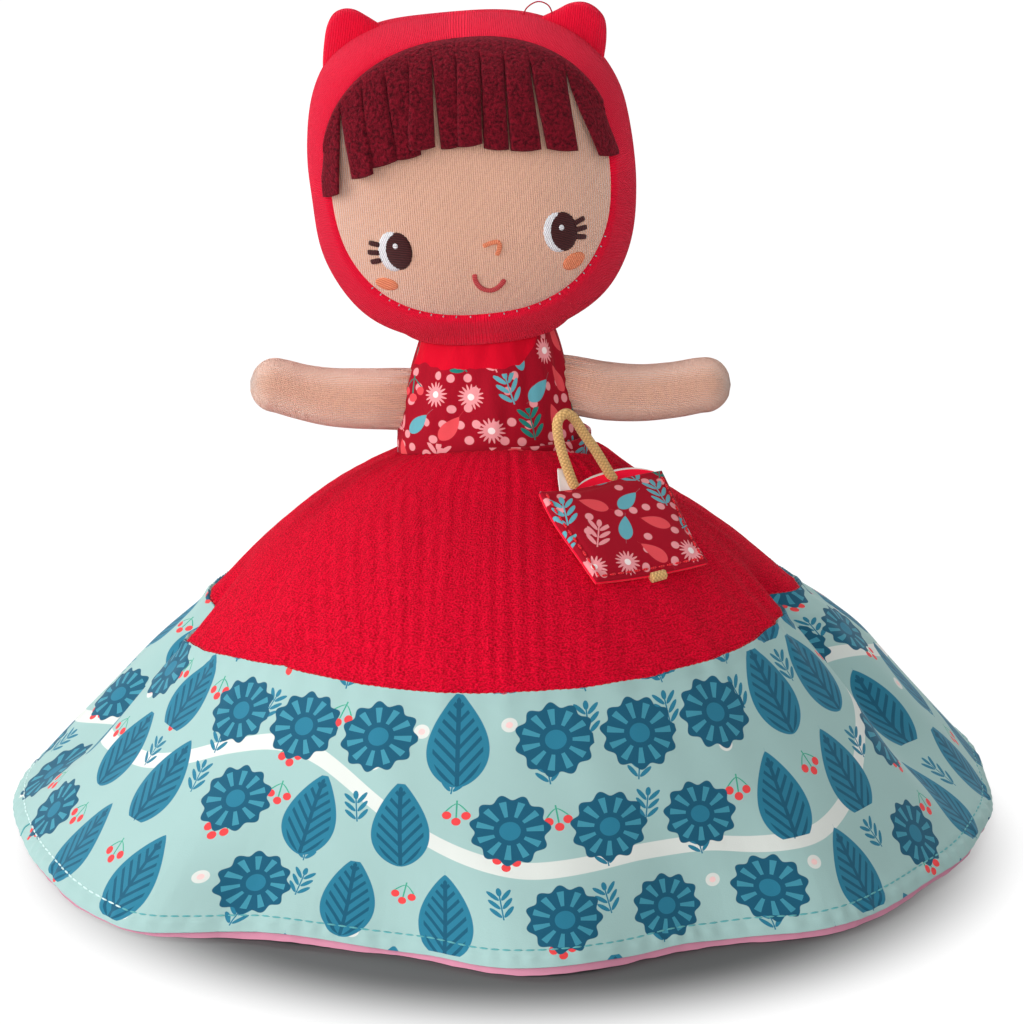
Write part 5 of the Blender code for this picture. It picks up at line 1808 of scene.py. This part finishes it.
path_column = np.concatenate((np.full(60, 0.0), np.linspace(0, 1, 70)[1:], np.full(60, 1.0)[1:]))
path_row = np.concatenate((np.linspace(0.02, 1, 60), np.full(69, 1.0), np.linspace(1, 0.02, 60)[1:]))
inset = BAG_STITCH_INSET / BAG_LENGTH
path_column = inset + path_column * (1 - 2 * inset)
path_row = np.minimum(path_row, 1 - inset)
path_sides, path_drop = bag_sides(path_column, path_row)
path_lift = bag_bend(path_column, path_row) + BAG_CLOTH + BAG_CROWN * pillow(path_column, path_row)
path_points = bag_points(path_sides, path_drop, path_lift)


def stitch_grids(points, pitch, dash, radius, sides=7, steps=8, whole=False):
    """Dashes of thread along a line, each dipping into the cloth at its ends. Where the stitches
    are to be whole, their pitch is eased so that a round number of them fills the line."""
    length = running_length(points)
    if whole:
        pitch = length[-1] / round(length[-1] / pitch)

    def thin(lengths, angles):
        return radius * np.sqrt(np.clip(1.02 - (2 * lengths / dash - 1) ** 2, 0.02, 1))

    grids = []
    for start in np.arange((pitch - dash) / 2, length[-1] - dash, pitch):
        places = np.linspace(start, start + dash, steps)
        line = np.stack([np.interp(places, length, points[:, axis]) for axis in range(3)], -1)
        grids.append(tube_grid(line, thin, sides))
    return grids


bag_stitches = skin_object(
    "bag_topstitching",
    stitch_grids(path_points, BAG_STITCH_LENGTH + BAG_STITCH_GAP, BAG_STITCH_LENGTH, BAG_STITCH_RADIUS),
    stitch_material,
)
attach(bag_stitches, "bag")


# Bag's cord. A yellow braided cord: a loop that stands up as the handle, and its end, which shows
# below the bottom seam.
CORD_DIAMETER = 0.003
CORD_COLUMNS = 36
CORD_ROWS = 320
BRAID_DEPTH_SHARE = 0.07
BRAID_PITCH = 0.0046
BRAID_STRANDS = 6
BRAID_RELIEF = 0.0003
# the braid's colour in the hollows between its strands, coloured darker: painted shade
CORD_PAINTED_SHADE = (0.50, 0.27, 0.085, 1)
CORD_LIGHT = (0.80, 0.50, 0.20, 1)
CORD_END_LENGTH = 0.0045
HANDLE_LINE = (
    (0.0196, -0.0428, 0.1082), (0.0180, -0.0438, 0.1128), (0.0160, -0.0451, 0.1192),
    (0.0148, -0.0459, 0.1250), (0.0150, -0.0457, 0.1285), (0.0172, -0.0443, 0.1300),
    (0.0196, -0.0426, 0.1280), (0.0220, -0.0409, 0.1238), (0.0258, -0.0385, 0.1176),
    (0.0296, -0.0360, 0.1106), (0.0310, -0.0351, 0.1082),
)

braid, braid_tree, braid_shader = new_finish("yellow_braid", 0.8, 0.3, (1, 0.9, 0.7, 1))
round_cord, along_cord, _ = split(braid_tree, on_cloth(braid_tree))
pitch_turns = along_cord * (2 * math.pi / BRAID_PITCH * 2)
strand_turns = round_cord * (BRAID_STRANDS / 2)
one_way = calc(braid_tree, "SINE", pitch_turns + strand_turns)
other_way = calc(braid_tree, "SINE", pitch_turns - strand_turns)
braid_share = calc(braid_tree, "ABSOLUTE", one_way * other_way) ** 0.5
# Painted shade: the braid's hollows, where its relief is low, are coloured darker.
braid_colour = mix_colours(braid_tree, braid_share, CORD_PAINTED_SHADE, CORD_LIGHT)
feed(braid_tree, braid_colour, braid_shader.inputs["Base Color"])
raise_surface(braid_tree, braid_shader, braid_share, BRAID_RELIEF, 0.8)


def braid_radius(lengths, angles):
    turns = lengths * 2 * math.pi / BRAID_PITCH * 2
    strands = angles * BRAID_STRANDS / 2
    weave = np.abs(np.sin(turns + strands) * np.sin(turns - strands)) ** 0.5
    return CORD_DIAMETER / 2 * (1 - BRAID_DEPTH_SHARE + BRAID_DEPTH_SHARE * weave)


handle_line = drawn_curve(HANDLE_LINE, CORD_ROWS)
handle = skin_object(
    "bag_handle_cord", [tube_grid(handle_line, braid_radius, CORD_COLUMNS)], braid
)
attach(handle, "bag")
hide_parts("bag_handle")

end_sides = np.linspace(BAG_SIDE_SHIFT - 0.0003, BAG_SIDE_SHIFT + CORD_END_LENGTH - 0.0003, 24)
end_drop = BAG_DROP + BAG_LENGTH + 0.0009 - 0.0004 * np.linspace(0, 1, 24)
end_line = bag_points(end_sides, end_drop, 0 * end_sides)
cord_end = skin_object("bag_cord_end_braid", [tube_grid(end_line, braid_radius, CORD_COLUMNS)], braid)
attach(cord_end, "bag")
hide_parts("bag_cord_end")


# Tab. A plain white satin ribbon caught in the bag's top seam behind the handle's left leg.
TAB_HALF_WIDTH = 0.0021
TAB_RISE = 0.0075
TAB_MIDDLE = -0.0072
TAB_CLOTH = 0.0006
TAB_LEAN = 0.0042
TAB_SINK = 0.0008
TAB_CURL = 0.0004
TAB_CELLS = 16
SATIN_WHITE = (0.84, 0.80, 0.78, 1)

ribbon, ribbon_tree, ribbon_shader = new_finish("white_satin", 0.35, 0.1, WHITE, SATIN_WHITE)
add_weave(ribbon_tree, ribbon_shader, 1800, 0.3)
tab_column, tab_row = np.meshgrid(
    np.linspace(-1, 1, TAB_CELLS + 1), np.linspace(1, -0.25, TAB_CELLS + 1)
)
tab_sides = TAB_MIDDLE + TAB_HALF_WIDTH * tab_column * (1 - 0.1 * tab_row)
tab_drop = BAG_DROP - TAB_RISE * 0.72 * tab_row
tab_lift = TAB_LEAN * np.clip(tab_row, 0, 1) ** 1.4 - TAB_SINK + TAB_CURL * tab_column**2
tab = skin_object(
    "bag_tab_satin",
    [(bag_points(tab_sides, tab_drop, tab_lift), bag_points(tab_sides, tab_drop, tab_lift - TAB_CLOTH),
      np.stack((tab_sides, tab_drop), -1))],
    ribbon,
)
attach(tab, "bag")
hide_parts("bag_tab")


# Skirt's stitching. A line of topstitches above the hem, white at the left side and teal round the
# front, and a fine row of stitches where the border is sewn to the yoke.
HEM_STITCH_LENGTH = 0.0026
HEM_STITCH_PITCH = 0.0032
HEM_STITCH_RADIUS = 0.00028
SEAM_STITCH_PITCH = 0.0019
SEAM_STITCH_DASH = 0.0013
SEAM_THREAD_RADIUS = 0.00022
STITCH_SAMPLES = 120
SIDE_SEAM_DEGREES = -73
SIDE_SEAM_RADIUS = 0.0003
THREAD_TEAL = (0.11, 0.38, 0.40, 1)
THREAD_PALE = (0.62, 0.80, 0.78, 1)

teal_thread = new_finish("thread_teal", 0.5, 0.1, WHITE, THREAD_TEAL)[0]
pale_thread = new_finish("thread_pale", 0.5, 0.1, WHITE, THREAD_PALE)[0]

for gore in range(GORE_COUNT):
    number = f"{gore + 1:02d}"
    middle = gore * GORE_SPAN
    azimuth = np.linspace(middle - GORE_SPAN / 2, middle + GORE_SPAN / 2, STITCH_SAMPLES)
    hem_line = skirt_surface(azimuth, 1 + HEM_STITCH_SHARE + 0 * azimuth)
    grids = stitch_grids(
        hem_line, HEM_STITCH_PITCH, HEM_STITCH_LENGTH, HEM_STITCH_RADIUS, 6, 6, whole=True
    )
    hem_stitches = skin_object(
        f"hem_stitches_{number}", grids, pale_thread if gore in (9, 10) else teal_thread
    )
    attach(hem_stitches, f"border_{number}")
    seam_line = skirt_surface(azimuth, seam_place(azimuth) - 0.006)
    grids = stitch_grids(
        seam_line, SEAM_STITCH_PITCH, SEAM_STITCH_DASH, SEAM_THREAD_RADIUS, 5, 5, whole=True
    )
    seam_stitches = skin_object(f"seam_stitches_{number}", grids, stitch_material)
    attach(seam_stitches, f"yoke_{number}")

tick_along = np.linspace(1 + HEM_STITCH_SHARE, 1 + BORDER_END_SHARE, 24)
tick_line = skirt_surface(math.radians(SIDE_SEAM_DEGREES) + 0 * tick_along, tick_along)
side_tick = skin_object(
    "hem_side_stitch", [tube_grid(tick_line, SIDE_SEAM_RADIUS, 7)], teal_thread
)
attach(side_tick, "border_11")
